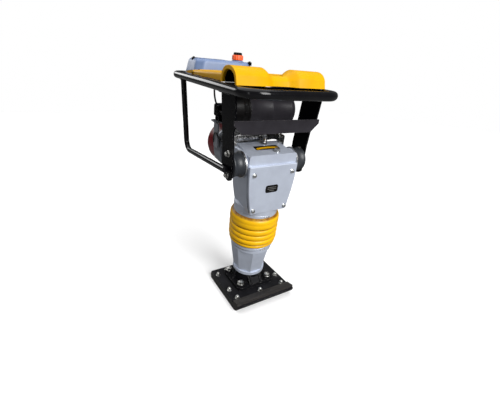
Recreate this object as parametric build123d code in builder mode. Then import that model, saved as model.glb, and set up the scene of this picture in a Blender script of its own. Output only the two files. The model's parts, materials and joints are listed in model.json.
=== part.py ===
from build123d import *
import math
import os

# A hand-guided ramming machine: a shoe, a spring-loaded leg in a bellows, a crankcase
# with an engine behind it, and a handle ring that hangs on two rubber mounts. Millimetres and
# degrees. The row's +Z is up, -Y is the front and the origin is where the leg meets the floor.

# Driving dimensions
TILT = 7.5                          # forward lean of the leg
HANDLE_RISE = 5.1                   # rearward rise of the handle ring
HANDLE_FRONT = (0, -275.5, 857.4)   # middle of the ring's front tube

SHOE_WIDTH = 285
SHOE_BACK = 103
SHOE_FLAT_FRONT = -140
TOE_RADIUS = 50
TOE_ANGLE = 76
SOLE_TOP = 7
BLOCK_TOP = 28
PLATE_TOP = 36
NOSE_TIP = (-182, 51)
NOSE_ROOT = (-142, 42)
EDGE_BOLTS = [(115, -130), (-115, -130), (0, -130), (123, -67), (-123, -67),
              (124, 57), (-124, 57), (68, 78), (-68, 78)]
BASE_BOLTS = [(69, -72), (-69, -72), (69, 48), (-69, 48)]

BASE_SEAT = 103                     # heights up the leg axis
RAM_FOOT_TOP = 250
SPIGOT_TOP = 274
CYLINDER_TOP = 332
CAP_TOP = 340
GUIDE_BOTTOM = 280
NECK_BOTTOM = 428
CASE_BOTTOM = 448
CRANK_S = 525
CASE_LEDGE = 635
CASE_TOP = 677
MODULE = 2
GEAR_TEETH = 62
PINION_TEETH = 18
GEAR_RADIUS = MODULE * GEAR_TEETH / 2
PINION_RADIUS = MODULE * PINION_TEETH / 2
ENGINE_S = CRANK_S + GEAR_RADIUS + PINION_RADIUS
CRANK_THROW = 18
ROD_LENGTH = 80
PIN_S = CRANK_S - CRANK_THROW
SMALL_END_S = PIN_S - ROD_LENGTH

SPRING_CYLINDER = 50                # radii in the leg
SPRING_BORE = 44
ROD_RADIUS = 14
PISTON_GUIDE = 36
RUNNING = 0.05                      # radial running clearance
CASE_FRONT = -82                    # distances behind the leg axis, square to it
CASE_REAR = 38
COVER_FRONT = -94
WALL = 8
GEAR_FRONT = -60
GEAR_REAR = -38

MOUNT_Y = -34                       # axis of the rubber mounts
MOUNT_S = 632
FLANGE_INNER = 106
FLANGE_OUTER = 112
ARM_INNER = 152
ARM_THICKNESS = 6
ARM_FRONT = -79.8
ARM_BACK = 20
ARM_BEND = 690
ARM_TOP_INNER = 165

RING_X = 172.2                      # the ring's tube line and its radius
RING_LENGTH = 712.6
RING_CORNER = 60
RING_TUBE = 14.5
GUARD_TUBE = 11.5
GUARD_X = 170
GUARD_BACK = 298
GUARD_LOW = 603
CLEANER_Y = 21.5
CLEANER_S = 807
CLEANER_RADIUS = 55
CLEANER_JOINT = -84                 # where the air cleaner's cap meets its body
CLEANER_END = 104
CLEANER_CAP = -142
BLOWER_FRONT = 200
BLOWER_REAR = 240
RECOIL_REAR = 350
HUMP_L = 137.6
HUMP_CENTRE = 6.4                   # height of the humps' axis above the ring's tube line
HUMP_RADIUS = 58.5
WAIST_RADIUS = 39
HOOD_HALF = 171
HOOD_WALL = 3
HOOD_BOTTOM = 14.8
DECK_FRONT_TOP = 44
DECK_BACK_TOP = 30
DECK_BACK = 510
WING_TIP = 578
TANK_HALF = 142
TANK_FRONT = 516
TANK_BACK = 680
TANK_BOTTOM = -4
TANK_TOP = 72
CAP_X = 70
CAP_L = 554

# Frames: leg (x, rearward, up the leg), seen from the side (rearward, up) and from the front
# (x, up), and the handle ring's own frame with its side view
LEG = Plane.XY.rotated((TILT, 0, 0))
SIDE = Plane(origin=(0, 0, 0), x_dir=LEG.y_dir, z_dir=LEG.x_dir)
FACING = Plane(origin=(0, 0, 0), x_dir=LEG.x_dir, z_dir=-LEG.y_dir)
LEG_AXIS = Axis((0, 0, 0), LEG.z_dir)
HANDLE = Plane(HANDLE_FRONT).rotated((HANDLE_RISE, 0, 0))
HANDLE_SIDE = Plane(origin=HANDLE_FRONT, x_dir=HANDLE.y_dir, z_dir=HANDLE.x_dir)


def level(s):
    """Plane square to the leg at height s."""
    return LEG.offset(s)


def facing(y):
    """Plane square to the crank axes at y, looking to the front. Extruding goes forward."""
    return FACING.offset(-y)


def beside(x):
    """Plane at x in the leg's side view: sketch coordinates are rearward and up the leg."""
    return SIDE.offset(x)


def along_shaft(s):
    """Axis of a shaft at height s that runs front to back."""
    return Axis(LEG.from_local_coords((0, 0, s)), LEG.y_dir)


def disc(plane, radius, thickness, centre=(0, 0), inner=0, mode=Mode.ADD):
    """Round disc, or ring when inner is given, that stands on a plane."""
    with BuildSketch(plane) as face:
        with Locations(centre):
            Circle(radius)
            if inner:
                Circle(inner, mode=Mode.SUBTRACT)
    extrude(face.sketch, amount=thickness, mode=mode)


def slab(plane, corners, thickness, mode=Mode.ADD):
    """Plate with a polygonal outline that stands on a plane."""
    with BuildSketch(plane) as face:
        with BuildLine():
            Polyline(*corners, close=True)
        make_face()
    extrude(face.sketch, amount=thickness, mode=mode)


def block(plane, x_span, y_span, thickness, mode=Mode.ADD):
    """Rectangular block given by the two spans of its footprint."""
    with BuildSketch(plane) as face:
        with Locations(((x_span[0] + x_span[1]) / 2, (y_span[0] + y_span[1]) / 2)):
            Rectangle(x_span[1] - x_span[0], y_span[1] - y_span[0])
    extrude(face.sketch, amount=thickness, mode=mode)


def turned(plane, axis, corners, mode=Mode.ADD):
    """Solid of revolution of a polygonal half profile."""
    with BuildSketch(plane) as face:
        with BuildLine():
            Polyline(*corners, close=True)
        make_face()
    revolve(face.sketch, axis=axis, mode=mode)


def hex_head(plane, centre, flats, thickness):
    """Hexagonal bolt head or nut."""
    with BuildSketch(plane) as face:
        with Locations(centre):
            RegularPolygon(flats / 2, 6, major_radius=False)
    extrude(face.sketch, amount=thickness)


def tube_along(plane, points, radii, radius):
    """Round tube whose centre line is straight runs joined by arcs, points in a plane's frame."""
    corners = [plane.from_local_coords(point) for point in points]
    with BuildLine() as route:
        path = FilletPolyline(*corners, radius=radii)
    with BuildSketch(Plane(origin=path @ 0, z_dir=path % 0)) as section:
        Circle(radius)
    sweep(section.sketch, path=route.line)


def gear_teeth(plane, centre, teeth, width, start_angle):
    """Straight-flanked gear teeth round a pitch circle, cut thin enough to run with play."""
    pitch = MODULE * teeth / 2
    root = pitch - 1.2 * MODULE
    tip = pitch + 0.85 * MODULE
    with BuildSketch(plane) as face:
        with Locations(centre):
            with PolarLocations(0, teeth, start_angle):
                Polygon((root - 1, -1.3), (root, -1.3), (tip, -0.5), (tip, 0.5),
                        (root, 1.3), (root - 1, 1.3), align=None)
            Circle(root)
    extrude(face.sketch, amount=width)


def finish(builder, label):
    """Name a finished piece and write it to its own file."""
    builder.part.label = label
    export_step(builder.part, f"parts/{label}.step")


os.makedirs("parts", exist_ok=True)

# ---------------------------------------------------------------------------
# Shoe
# ---------------------------------------------------------------------------
TOE_CENTRE = (SHOE_FLAT_FRONT, TOE_RADIUS)
SHOE_SIDE = Plane.YZ.offset(-SHOE_WIDTH / 2)

# Steel sole, curled up at the toe
with BuildPart() as sole_plate:
    with BuildSketch(SHOE_SIDE):
        with BuildLine():
            under = Line((SHOE_BACK, 0), (SHOE_FLAT_FRONT, 0))
            outer_toe = CenterArc(TOE_CENTRE, TOE_RADIUS, 270, -TOE_ANGLE)
            inner_toe = CenterArc(TOE_CENTRE, TOE_RADIUS - SOLE_TOP, 270, -TOE_ANGLE)
            Line(outer_toe @ 1, inner_toe @ 1)
            Polyline(inner_toe @ 0, (SHOE_BACK, SOLE_TOP), under @ 0)
        make_face()
    extrude(amount=SHOE_WIDTH)
finish(sole_plate, "sole_plate")

# Laminated damping block that fills the toe
with BuildPart() as shoe_block:
    with BuildSketch(SHOE_SIDE):
        with BuildLine():
            toe = CenterArc(TOE_CENTRE, TOE_RADIUS - SOLE_TOP, 270, -TOE_ANGLE)
            Polyline(toe @ 1, NOSE_TIP, NOSE_ROOT, (NOSE_ROOT[0] + 3, BLOCK_TOP),
                     (SHOE_BACK, BLOCK_TOP), (SHOE_BACK, SOLE_TOP), toe @ 0)
        make_face()
    extrude(amount=SHOE_WIDTH)
    with BuildSketch(Plane.XY.offset(SOLE_TOP)):
        with Locations(*EDGE_BOLTS):
            Circle(5.2)
    extrude(amount=BLOCK_TOP, mode=Mode.SUBTRACT)
    with BuildSketch(Plane.XY.offset(SOLE_TOP)):
        with Locations(*BASE_BOLTS):
            Circle(8.2)
    extrude(amount=BLOCK_TOP, mode=Mode.SUBTRACT)
finish(shoe_block, "shoe_block")

# Steel top plate of the shoe
with BuildPart() as shoe_plate:
    with BuildSketch(Plane.XY.offset(BLOCK_TOP)):
        with Locations((0, (SHOE_BACK + NOSE_ROOT[0] + 4) / 2)):
            RectangleRounded(SHOE_WIDTH - 2, SHOE_BACK - NOSE_ROOT[0] - 6, 4)
        with Locations(*EDGE_BOLTS):
            Circle(5.2, mode=Mode.SUBTRACT)
        with Locations(*BASE_BOLTS):
            Circle(8.2, mode=Mode.SUBTRACT)
    extrude(amount=PLATE_TOP - BLOCK_TOP)
finish(shoe_plate, "shoe_plate")

# Bolts, washers and nuts round the shoe's edge
with BuildPart() as shoe_bolts:
    for spot in EDGE_BOLTS:
        disc(Plane.XY.offset(SOLE_TOP + 0.5), 5, 43, spot)
        disc(Plane.XY.offset(PLATE_TOP), 10.5, 1.8, spot)
        hex_head(Plane.XY.offset(PLATE_TOP + 1.8), spot, 16, 8)
finish(shoe_bolts, "shoe_bolts")

# Black cast base: flange, tilted boss, ribs and a sloping front wedge
with BuildPart() as foot_base:
    with BuildSketch(Plane.XY.offset(PLATE_TOP)):
        with Locations((0, -16.5)):
            RectangleRounded(184, 165, 20)
    extrude(amount=14)
    with BuildSketch(Plane.XY.offset(PLATE_TOP + 14)):
        with Locations(*BASE_BOLTS):
            Circle(18)
    extrude(amount=6)
    disc(Plane.XY.offset(PLATE_TOP), 70, 22, (0, -8))
    turned(SIDE, LEG_AXIS, [(0, 48), (72, 48), (64, BASE_SEAT), (0, BASE_SEAT)])
    for angle in (0, 90, 180):
        out = (math.cos(math.radians(angle)), math.sin(math.radians(angle)), 0)
        rib = Plane(origin=(0, -12, 0), x_dir=out, z_dir=(out[1], -out[0], 0))
        slab(rib.offset(-7), [(30, 50), (86, 50), (66, 90), (30, 90)], 14)
    slab(Plane.YZ.offset(-32), [(-94, 50), (-68, 86), (-30, 86), (-30, 50)], 64)
    with BuildSketch(Plane.XY.offset(PLATE_TOP)):
        with Locations(*BASE_BOLTS):
            Circle(8.2)
    extrude(amount=20, mode=Mode.SUBTRACT)
finish(foot_base, "foot_base")

# The four large bolts that hold the base to the shoe
with BuildPart() as foot_base_bolts:
    for spot in BASE_BOLTS:
        disc(Plane.XY.offset(BLOCK_TOP - 16), 8, 48, spot)
        disc(Plane.XY.offset(PLATE_TOP + 20), 15, 3, spot)
        hex_head(Plane.XY.offset(PLATE_TOP + 23), spot, 24, 12)
finish(foot_base_bolts, "foot_base_bolts")

# ---------------------------------------------------------------------------
# Ramming foot
# ---------------------------------------------------------------------------
# Grey casting: round flanges at both ends of a tapered octagonal body
with BuildPart() as ram_foot:
    disc(level(BASE_SEAT), 72, 14)
    with BuildSketch(level(BASE_SEAT + 14)):
        RegularPolygon(70, 8, rotation=22.5)
    with BuildSketch(level(RAM_FOOT_TOP - 12)):
        RegularPolygon(90, 8, rotation=22.5)
    loft()
    disc(level(RAM_FOOT_TOP - 12), 89, 12)
    disc(level(RAM_FOOT_TOP), 86, SPIGOT_TOP - RAM_FOOT_TOP)
    disc(level(BASE_SEAT + 7), SPRING_CYLINDER + 0.2, 200, mode=Mode.SUBTRACT)
    disc(level(RAM_FOOT_TOP - 6), 60, 60, mode=Mode.SUBTRACT)
finish(ram_foot, "ram_foot")

# Spring cylinder with its floor
with BuildPart() as spring_cylinder:
    disc(level(BASE_SEAT + 7), SPRING_CYLINDER, CYLINDER_TOP - BASE_SEAT - 7)
    disc(level(BASE_SEAT + 15), SPRING_BORE, 300, mode=Mode.SUBTRACT)
finish(spring_cylinder, "spring_cylinder")

with BuildPart() as cylinder_cap:
    disc(level(CYLINDER_TOP), SPRING_CYLINDER, CAP_TOP - CYLINDER_TOP, inner=ROD_RADIUS + RUNNING)
finish(cylinder_cap, "cylinder_cap")

PISTON_BOTTOM = 186
PISTON_TOP = 208


def coil_spring(bottom, top, turns, mean_radius, wire):
    """Coil spring between two heights on the leg axis."""
    rise = (top - bottom - 2 * wire) / turns
    turn_line = Helix(rise, rise * turns, mean_radius)
    turn_line = level(bottom + wire) * turn_line
    with BuildSketch(Plane(origin=turn_line @ 0, z_dir=turn_line % 0)) as section:
        Circle(wire)
    sweep(section.sketch, path=turn_line, is_frenet=True)


with BuildPart() as lower_spring:
    coil_spring(BASE_SEAT + 15.5, PISTON_BOTTOM - 0.5, 4, 35, 4.5)
finish(lower_spring, "lower_spring")

with BuildPart() as upper_spring:
    coil_spring(PISTON_TOP + 0.5, CYLINDER_TOP - 0.5, 7, 35, 4.5)
finish(upper_spring, "upper_spring")

# Bellows: four ribs over soft grooves, a wide top bulge and a plain cuff at each end
BELLOWS_BOTTOM = 256
BELLOWS_TOP = 425
GROOVES = (281, 307, 335, 362, 387)


def bellows_outline(wall):
    """Half section of the bellows' skin, drawn in from the outside by wall."""
    groove = 95 - wall
    with BuildSketch(SIDE) as face:
        with BuildLine():
            edge = Polyline((0, BELLOWS_BOTTOM), (92 - wall, BELLOWS_BOTTOM),
                            (92 - wall, GROOVES[0] - 3), (groove, GROOVES[0]))
            for low, high in zip(GROOVES, GROOVES[1:]):
                ThreePointArc((groove, low), (104 - wall, (low + high) / 2), (groove, high))
            ThreePointArc((groove, GROOVES[-1]), (103 - wall, 396), (94 - wall, 409))
            Polyline((94 - wall, 409), (88 - wall, 412), (88 - wall, BELLOWS_TOP),
                     (0, BELLOWS_TOP), edge @ 0)
        make_face()
    return face.sketch


with BuildPart() as bellows:
    revolve(bellows_outline(0), axis=LEG_AXIS)
    revolve(bellows_outline(3.5), axis=LEG_AXIS, mode=Mode.SUBTRACT)
    disc(level(BELLOWS_BOTTOM), 86.3, 24, mode=Mode.SUBTRACT)
finish(bellows, "bellows")

with BuildPart() as lower_bellows_clamp:
    disc(level(261), 94, 8, inner=92.2)
    block(level(261), (-9, 9), (-100, -94.2), 8)
finish(lower_bellows_clamp, "lower_bellows_clamp")

# ---------------------------------------------------------------------------
# Crankcase
# ---------------------------------------------------------------------------
CAVITY = [(-71, CASE_BOTTOM + WALL), (71, CASE_BOTTOM + WALL), (93, CASE_LEDGE - WALL),
          (91, CASE_TOP - WALL), (-91, CASE_TOP - WALL), (-93, CASE_LEDGE - WALL)]
COVER_MOUTH = [(-71, CASE_BOTTOM + WALL), (71, CASE_BOTTOM + WALL), (90, CASE_LEDGE - WALL),
               (-90, CASE_LEDGE - WALL)]
COVER_BOLTS = [(-82, 610), (82, 610), (-71, 464), (71, 464)]
CLUTCH_REAR = 60
ADAPTER_REAR = 75
CLUTCH_BORE = 49
ENGINE_BOLTS = [(x, ENGINE_S + s) for x in (-46, 46) for s in (-46, 46)]


def case_front(plane, inset, shoulder, thickness):
    """Front outline with bowed sides, extruded forward. The shoulder is the part above the
    ledge, as half its width and its top."""
    with BuildSketch(plane) as face:
        with BuildLine():
            for side_x in (-1, 1):
                foot_corner = (side_x * (80 - inset), CASE_BOTTOM)
                ledge_corner = (side_x * (103 - inset), CASE_LEDGE - 3)
                ThreePointArc(foot_corner, (side_x * (97 - inset), 540), ledge_corner)
                Polyline(ledge_corner, (side_x * shoulder[0], CASE_LEDGE + 2),
                         (side_x * shoulder[0], shoulder[1]))
            Line((-shoulder[0], shoulder[1]), (shoulder[0], shoulder[1]))
            Line((inset - 80, CASE_BOTTOM), (80 - inset, CASE_BOTTOM))
        make_face()
    extrude(face.sketch, amount=thickness)


with BuildPart() as crankcase:
    case_front(facing(CASE_REAR), 0, (100, CASE_TOP), CASE_REAR - CASE_FRONT)
    top_corners = crankcase.edges().filter_by(Axis((0, 0, 0), LEG.y_dir)).group_by(Axis.Z)[-1]
    fillet(top_corners, radius=9)
    slab(beside(-92), [(-42, CASE_TOP - 2), (CASE_REAR, CASE_TOP - 2),
                       (CASE_REAR, CASE_TOP + 9)], 184)
    turned(SIDE, LEG_AXIS, [(0, NECK_BOTTOM), (91, NECK_BOTTOM), (91, CASE_BOTTOM + 4),
                            (60, 492), (0, 492)])
    disc(level(NECK_BOTTOM - 20), 84, 21)
    for side_x in (-FLANGE_INNER, FLANGE_INNER - 20):
        disc(beside(side_x), 44, 20, (MOUNT_Y, MOUNT_S))
    disc(facing(CLUTCH_REAR), 57, CLUTCH_REAR - CASE_REAR + 2, (0, ENGINE_S))
    disc(facing(ADAPTER_REAR), 74, ADAPTER_REAR - CLUTCH_REAR + 4, (0, ENGINE_S))
    block(facing(CASE_FRONT), (-110, 110), (CASE_BOTTOM, CASE_TOP), 30, Mode.SUBTRACT)
    slab(facing(CASE_REAR - WALL), CAVITY, CASE_REAR - WALL - CASE_FRONT - WALL, Mode.SUBTRACT)
    slab(facing(CASE_FRONT + WALL), COVER_MOUTH, WALL + 20, Mode.SUBTRACT)
    disc(level(NECK_BOTTOM - 20), 78, 20, mode=Mode.SUBTRACT)
    disc(level(NECK_BOTTOM - 1), 56.2, CASE_BOTTOM + WALL - NECK_BOTTOM + 2, mode=Mode.SUBTRACT)
    disc(level(CASE_BOTTOM + WALL - 1), PISTON_GUIDE + 2, 27, mode=Mode.SUBTRACT)
    disc(facing(ADAPTER_REAR), CLUTCH_BORE, 60, (0, ENGINE_S), mode=Mode.SUBTRACT)
    for spot in ENGINE_BOLTS:
        disc(facing(ADAPTER_REAR), 4.3, 30, spot, mode=Mode.SUBTRACT)
    disc(level(CASE_TOP - 20), 7.2, 40, (26, -56), mode=Mode.SUBTRACT)
    for spot in COVER_BOLTS:
        disc(facing(CASE_FRONT + 14), 3.8, 14, spot, mode=Mode.SUBTRACT)
finish(crankcase, "crankcase")

# Front cover with the bearing seats on its inside
with BuildPart() as crankcase_cover:
    case_front(facing(CASE_FRONT), 0.5, (101.5, CASE_LEDGE + 4), CASE_FRONT - COVER_FRONT)
    rim = crankcase_cover.faces().sort_by(Axis((0, 0, 0), LEG.y_dir))[0].edges()
    chamfer(rim, length=1.5)
    disc(facing(-66), 24, 18, (0, CRANK_S))
    disc(facing(-68), 21, 16, (0, ENGINE_S))
    disc(facing(-66), 19, 14, (0, CRANK_S), mode=Mode.SUBTRACT)
    disc(facing(-68), 16, 12, (0, ENGINE_S), mode=Mode.SUBTRACT)
    for spot in COVER_BOLTS:
        disc(facing(CASE_FRONT), 4.3, 20, spot, mode=Mode.SUBTRACT)
finish(crankcase_cover, "crankcase_cover")

# Hex bolts of the front cover, and those that hold the engine to the clutch housing
with BuildPart() as case_bolts:
    for spot in COVER_BOLTS:
        disc(facing(CASE_FRONT + 12), 3.8, 24, spot)
        disc(facing(COVER_FRONT), 9, 1.5, spot)
        hex_head(facing(COVER_FRONT - 1.5), spot, 13, 7)
    for spot in ENGINE_BOLTS:
        disc(facing(ADAPTER_REAR + 16), 4.2, 36, spot)
        hex_head(facing(CLUTCH_REAR - 4), spot, 13, 6)
finish(case_bolts, "case_bolts")

with BuildPart() as shaft_bearings:
    disc(facing(-66), 19, 14, (0, CRANK_S), inner=10 + RUNNING)
    disc(facing(-68), 16, 12, (0, ENGINE_S), inner=8 + RUNNING)
finish(shaft_bearings, "shaft_bearings")

# Guide cylinder: slides over the spring cylinder and carries the piston guide in its collar
with BuildPart() as guide_cylinder:
    disc(level(GUIDE_BOTTOM), 56, CASE_BOTTOM + WALL - GUIDE_BOTTOM)
    disc(level(GUIDE_BOTTOM), SPRING_CYLINDER + RUNNING, 106, mode=Mode.SUBTRACT)
    disc(level(GUIDE_BOTTOM), PISTON_GUIDE + RUNNING, 200, mode=Mode.SUBTRACT)
finish(guide_cylinder, "guide_cylinder")

with BuildPart() as upper_bellows_clamp:
    disc(level(414), 90, 7, inner=88.2)
    block(level(414), (-9, 9), (-95.5, -90.2), 7)
finish(upper_bellows_clamp, "upper_bellows_clamp")

with BuildPart() as oil_filler_plug:
    disc(level(CASE_TOP - 10), 7, 10, (26, -56))
    disc(level(CASE_TOP), 12, 4, (26, -56))
    hex_head(level(CASE_TOP + 4), (26, -56), 17, 9)
finish(oil_filler_plug, "oil_filler_plug")

with BuildPart() as mount_flanges:
    for side_x in (-FLANGE_OUTER, FLANGE_INNER):
        disc(beside(side_x), 49, FLANGE_OUTER - FLANGE_INNER, (MOUNT_Y, MOUNT_S))
finish(mount_flanges, "mount_flanges")

# ---------------------------------------------------------------------------
# Engine
# ---------------------------------------------------------------------------
with BuildPart() as engine_block:
    block(facing(200), (-65, 65), (540, 670), 200 - ADAPTER_REAR)
    fillet(engine_block.edges().filter_by(Axis((0, 0, 0), LEG.y_dir)), radius=12)
    disc(facing(200), 10 + RUNNING, 200, (0, ENGINE_S), mode=Mode.SUBTRACT)
    for spot in ENGINE_BOLTS:
        disc(facing(ADAPTER_REAR + 20), 4.3, 30, spot, mode=Mode.SUBTRACT)
finish(engine_block, "engine_block")

# Finned cylinder and head, offset to the machine's right
with BuildPart() as engine_cylinder:
    block(level(670), (-44, 24), (96, 160), 88)
    for fin in range(7):
        block(level(676 + 11 * fin), (-60, 40), (86, 170), 3.5)
    block(level(752), (-54, 34), (90, 166), 8)
finish(engine_cylinder, "engine_cylinder")

with BuildPart() as spark_plug:
    disc(beside(34.2), 7, 14, (128, 753.5))
    disc(beside(48), 9.5, 26, (128, 753.5))
finish(spark_plug, "spark_plug")

with BuildPart() as carburettor:
    block(level(707), (-40, 20), (176, 214), 41)
    disc(level(748), 21, 8, (-15, 195))
    disc(facing(176), 13, 5.9, (-10, 728))
finish(carburettor, "carburettor")

with BuildPart() as muffler:
    block(level(733), (-88, -48), (222, 266), 50)
    fillet(muffler.edges().filter_by(Axis((0, 0, 0), LEG.y_dir)), radius=8)
    block(level(717), (-84, -62), (226, 236), 18)
    block(level(717), (-84, -62), (252, 262), 18)
    tube_along(LEG, [(-76, 226, 756), (-76, 150, 756), (-60.2, 150, 756)], 12, 11)
finish(muffler, "muffler")

# Grey blower housing with a tapered front and the bracket that carries the muffler
with BuildPart() as blower_housing:
    turned(SIDE, along_shaft(ENGINE_S),
           [(BLOWER_FRONT, ENGINE_S), (BLOWER_FRONT, ENGINE_S + 84), (232, ENGINE_S + 95),
            (BLOWER_REAR, ENGINE_S + 95), (BLOWER_REAR, ENGINE_S)])
    turned(SIDE, along_shaft(ENGINE_S),
           [(BLOWER_FRONT + 3, ENGINE_S), (BLOWER_FRONT + 3, ENGINE_S + 81),
            (232, ENGINE_S + 92), (BLOWER_REAR, ENGINE_S + 92), (BLOWER_REAR, ENGINE_S)],
           Mode.SUBTRACT)
    disc(facing(230), 30, 70, (0, ENGINE_S), mode=Mode.SUBTRACT)
    block(facing(BLOWER_REAR), (-98, -91), (ENGINE_S + 8, 712), 40)
    block(level(711), (-98, -60), (222, 270), 6)
finish(blower_housing, "blower_housing")

# Domed recoil cover with vent slots
with BuildPart() as recoil_cover:
    for wall, mode in ((0, Mode.ADD), (4.5, Mode.SUBTRACT)):
        turned(SIDE, along_shaft(ENGINE_S),
               [(BLOWER_REAR, ENGINE_S), (BLOWER_REAR, ENGINE_S + 95 - wall),
                (RECOIL_REAR - 38, ENGINE_S + 93 - wall),
                (RECOIL_REAR - 25 - 0.4 * wall, ENGINE_S + 89 - 0.9 * wall),
                (RECOIL_REAR - 14 - 0.7 * wall, ENGINE_S + 79 - 0.7 * wall),
                (RECOIL_REAR - 5 - wall, ENGINE_S + 54 - 0.2 * wall),
                (RECOIL_REAR - wall, ENGINE_S + 30), (RECOIL_REAR - wall, ENGINE_S)], mode)
    with BuildSketch(facing(RECOIL_REAR + 8)) as slots:
        with Locations((0, ENGINE_S)):
            with PolarLocations(60, 14, 90):
                SlotOverall(26, 5)
    extrude(slots.sketch, amount=22, mode=Mode.SUBTRACT)
    disc(facing(RECOIL_REAR + 8), 4, 20, (40, ENGINE_S + 8), mode=Mode.SUBTRACT)
finish(recoil_cover, "recoil_cover")

# ---------------------------------------------------------------------------
# Gear train and ram
# ---------------------------------------------------------------------------
with BuildPart() as crank_gear:
    gear_teeth(facing(GEAR_REAR), (0, CRANK_S), GEAR_TEETH, GEAR_REAR - GEAR_FRONT, 0)
    disc(facing(GEAR_FRONT + 1), 10, 20, (0, CRANK_S))
    disc(facing(13), 8, 13 - GEAR_REAR + 1, (0, PIN_S))
finish(crank_gear, "crank_gear")

# Connecting rod: big end on the crank pin, small end round the wrist pin
with BuildPart() as connecting_rod:
    disc(facing(12), 16, 24, (0, PIN_S))
    disc(facing(10), 12, 20, (0, SMALL_END_S))
    block(facing(7), (-7, 7), (SMALL_END_S, PIN_S), 14)
    disc(facing(14), 8 + RUNNING, 30, (0, PIN_S), mode=Mode.SUBTRACT)
    disc(facing(14), 6, 30, (0, SMALL_END_S), mode=Mode.SUBTRACT)
finish(connecting_rod, "connecting_rod")

with BuildPart() as wrist_pin:
    disc(facing(20), 6, 40, (0, SMALL_END_S))
finish(wrist_pin, "wrist_pin")

with BuildPart() as piston_guide:
    disc(level(369), PISTON_GUIDE, 71)
    disc(level(377), 32.5, 80, mode=Mode.SUBTRACT)
finish(piston_guide, "piston_guide")

with BuildPart() as piston_rod:
    disc(level(PISTON_TOP), ROD_RADIUS, 369 - PISTON_TOP)
finish(piston_rod, "piston_rod")

with BuildPart() as ram_piston:
    disc(level(PISTON_BOTTOM), SPRING_BORE - RUNNING, PISTON_TOP - PISTON_BOTTOM)
    disc(level(PISTON_BOTTOM - 14), 16, 14)
finish(ram_piston, "ram_piston")

# Clutch drum and its pinion on one shaft
with BuildPart() as clutch_drum:
    disc(facing(52), 45, 36, (0, ENGINE_S))
    disc(facing(52), 41, 32, (0, ENGINE_S), mode=Mode.SUBTRACT)
finish(clutch_drum, "clutch_drum")

with BuildPart() as pinion:
    gear_teeth(facing(GEAR_REAR), (0, ENGINE_S), PINION_TEETH, GEAR_REAR - GEAR_FRONT, 10)
    disc(facing(GEAR_FRONT + 1), 8, 18, (0, ENGINE_S))
    disc(facing(16), 8, 16 - GEAR_REAR + 1, (0, ENGINE_S))
finish(pinion, "pinion")

with BuildPart() as engine_crankshaft:
    disc(facing(300), 10, 300 - 24, (0, ENGINE_S))
    disc(facing(300), 26, 14, (0, ENGINE_S))
finish(engine_crankshaft, "engine_crankshaft")

# Centrifugal clutch: hub and two shoes inside the drum
with BuildPart() as clutch_shoes:
    disc(facing(46), 39, 20, (0, ENGINE_S), inner=10)
    with BuildSketch(facing(46)) as gaps:
        with Locations((0, ENGINE_S)):
            with PolarLocations(29, 2, 0):
                Rectangle(22, 5)
    extrude(gaps.sketch, amount=20, mode=Mode.SUBTRACT)
finish(clutch_shoes, "clutch_shoes")

with BuildPart() as flywheel:
    disc(facing(236), 70, 24, (0, ENGINE_S), inner=10)
    with BuildSketch(facing(250)) as vanes:
        with Locations((0, ENGINE_S)):
            with PolarLocations(72, 16):
                Rectangle(28, 3)
    extrude(vanes.sketch, amount=24)
finish(flywheel, "flywheel")

# ---------------------------------------------------------------------------
# Recoil starter
# ---------------------------------------------------------------------------
GRIP_X = 40
GRIP_S = ENGINE_S + 8

with BuildPart() as starter_grip:
    with BuildSketch(facing(RECOIL_REAR + 24)) as bar:
        with Locations((GRIP_X, GRIP_S)):
            SlotOverall(62, 16)
    extrude(bar.sketch, amount=16)
    fillet(starter_grip.edges(), radius=3)
    disc(facing(RECOIL_REAR + 9), 7, 7, (GRIP_X, GRIP_S))
finish(starter_grip, "starter_grip")

with BuildPart() as starter_rope:
    disc(facing(RECOIL_REAR + 1.9), 2, 26, (GRIP_X, GRIP_S))
finish(starter_rope, "starter_rope")

# ---------------------------------------------------------------------------
# Handle frame
# ---------------------------------------------------------------------------
with BuildPart() as handle_ring:
    with BuildSketch(HANDLE, mode=Mode.PRIVATE) as ring_line:
        with Locations((0, RING_LENGTH / 2)):
            RectangleRounded(2 * RING_X, RING_LENGTH, RING_CORNER)
    ring_wire = ring_line.sketch.faces()[0].outer_wire()
    with BuildSketch(Plane(origin=ring_wire @ 0, z_dir=ring_wire % 0)):
        Circle(RING_TUBE)
    sweep(path=ring_wire)
finish(handle_ring, "handle_ring")


def arm_strip(side_x):
    """Bent strip of one arm seen from the front, on the left or the right."""
    low, bend, top = 576, ARM_BEND, 900
    lean = (ARM_TOP_INNER - ARM_INNER) * (top - bend) / (862 - bend)
    inner = [(ARM_INNER, low), (ARM_INNER, bend), (ARM_INNER + lean, top)]
    outer = [(x + ARM_THICKNESS, s) for x, s in reversed(inner)]
    return [(side_x * x, s) for x, s in inner + outer]


# Two flat arms, bent outward above the mounts, rounded at the bottom
with BuildPart() as side_arms:
    for side_x in (-1, 1):
        slab(facing(ARM_BACK), arm_strip(side_x), ARM_BACK - ARM_FRONT)
    with BuildSketch(beside(-200)) as arm_side:
        with BuildLine():
            Polyline((ARM_FRONT, 900), (ARM_FRONT, 778), (-63, 758), (-63, 626), (-62, 590))
            ThreePointArc((-62, 590), (MOUNT_Y, 576), (-6, 590))
            Polyline((-6, 590), (ARM_BACK, 626), (ARM_BACK, 900), (ARM_FRONT, 900))
        make_face()
    extrude(arm_side.sketch, amount=400, mode=Mode.INTERSECT)
    split(bisect_by=HANDLE.offset(-RING_TUBE - 0.1), keep=Keep.BOTTOM)
    for spot in ((-33, 674), (-33, 596)):
        disc(beside(-200), 6.2, 400, spot, mode=Mode.SUBTRACT)
finish(side_arms, "side_arms")

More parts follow.
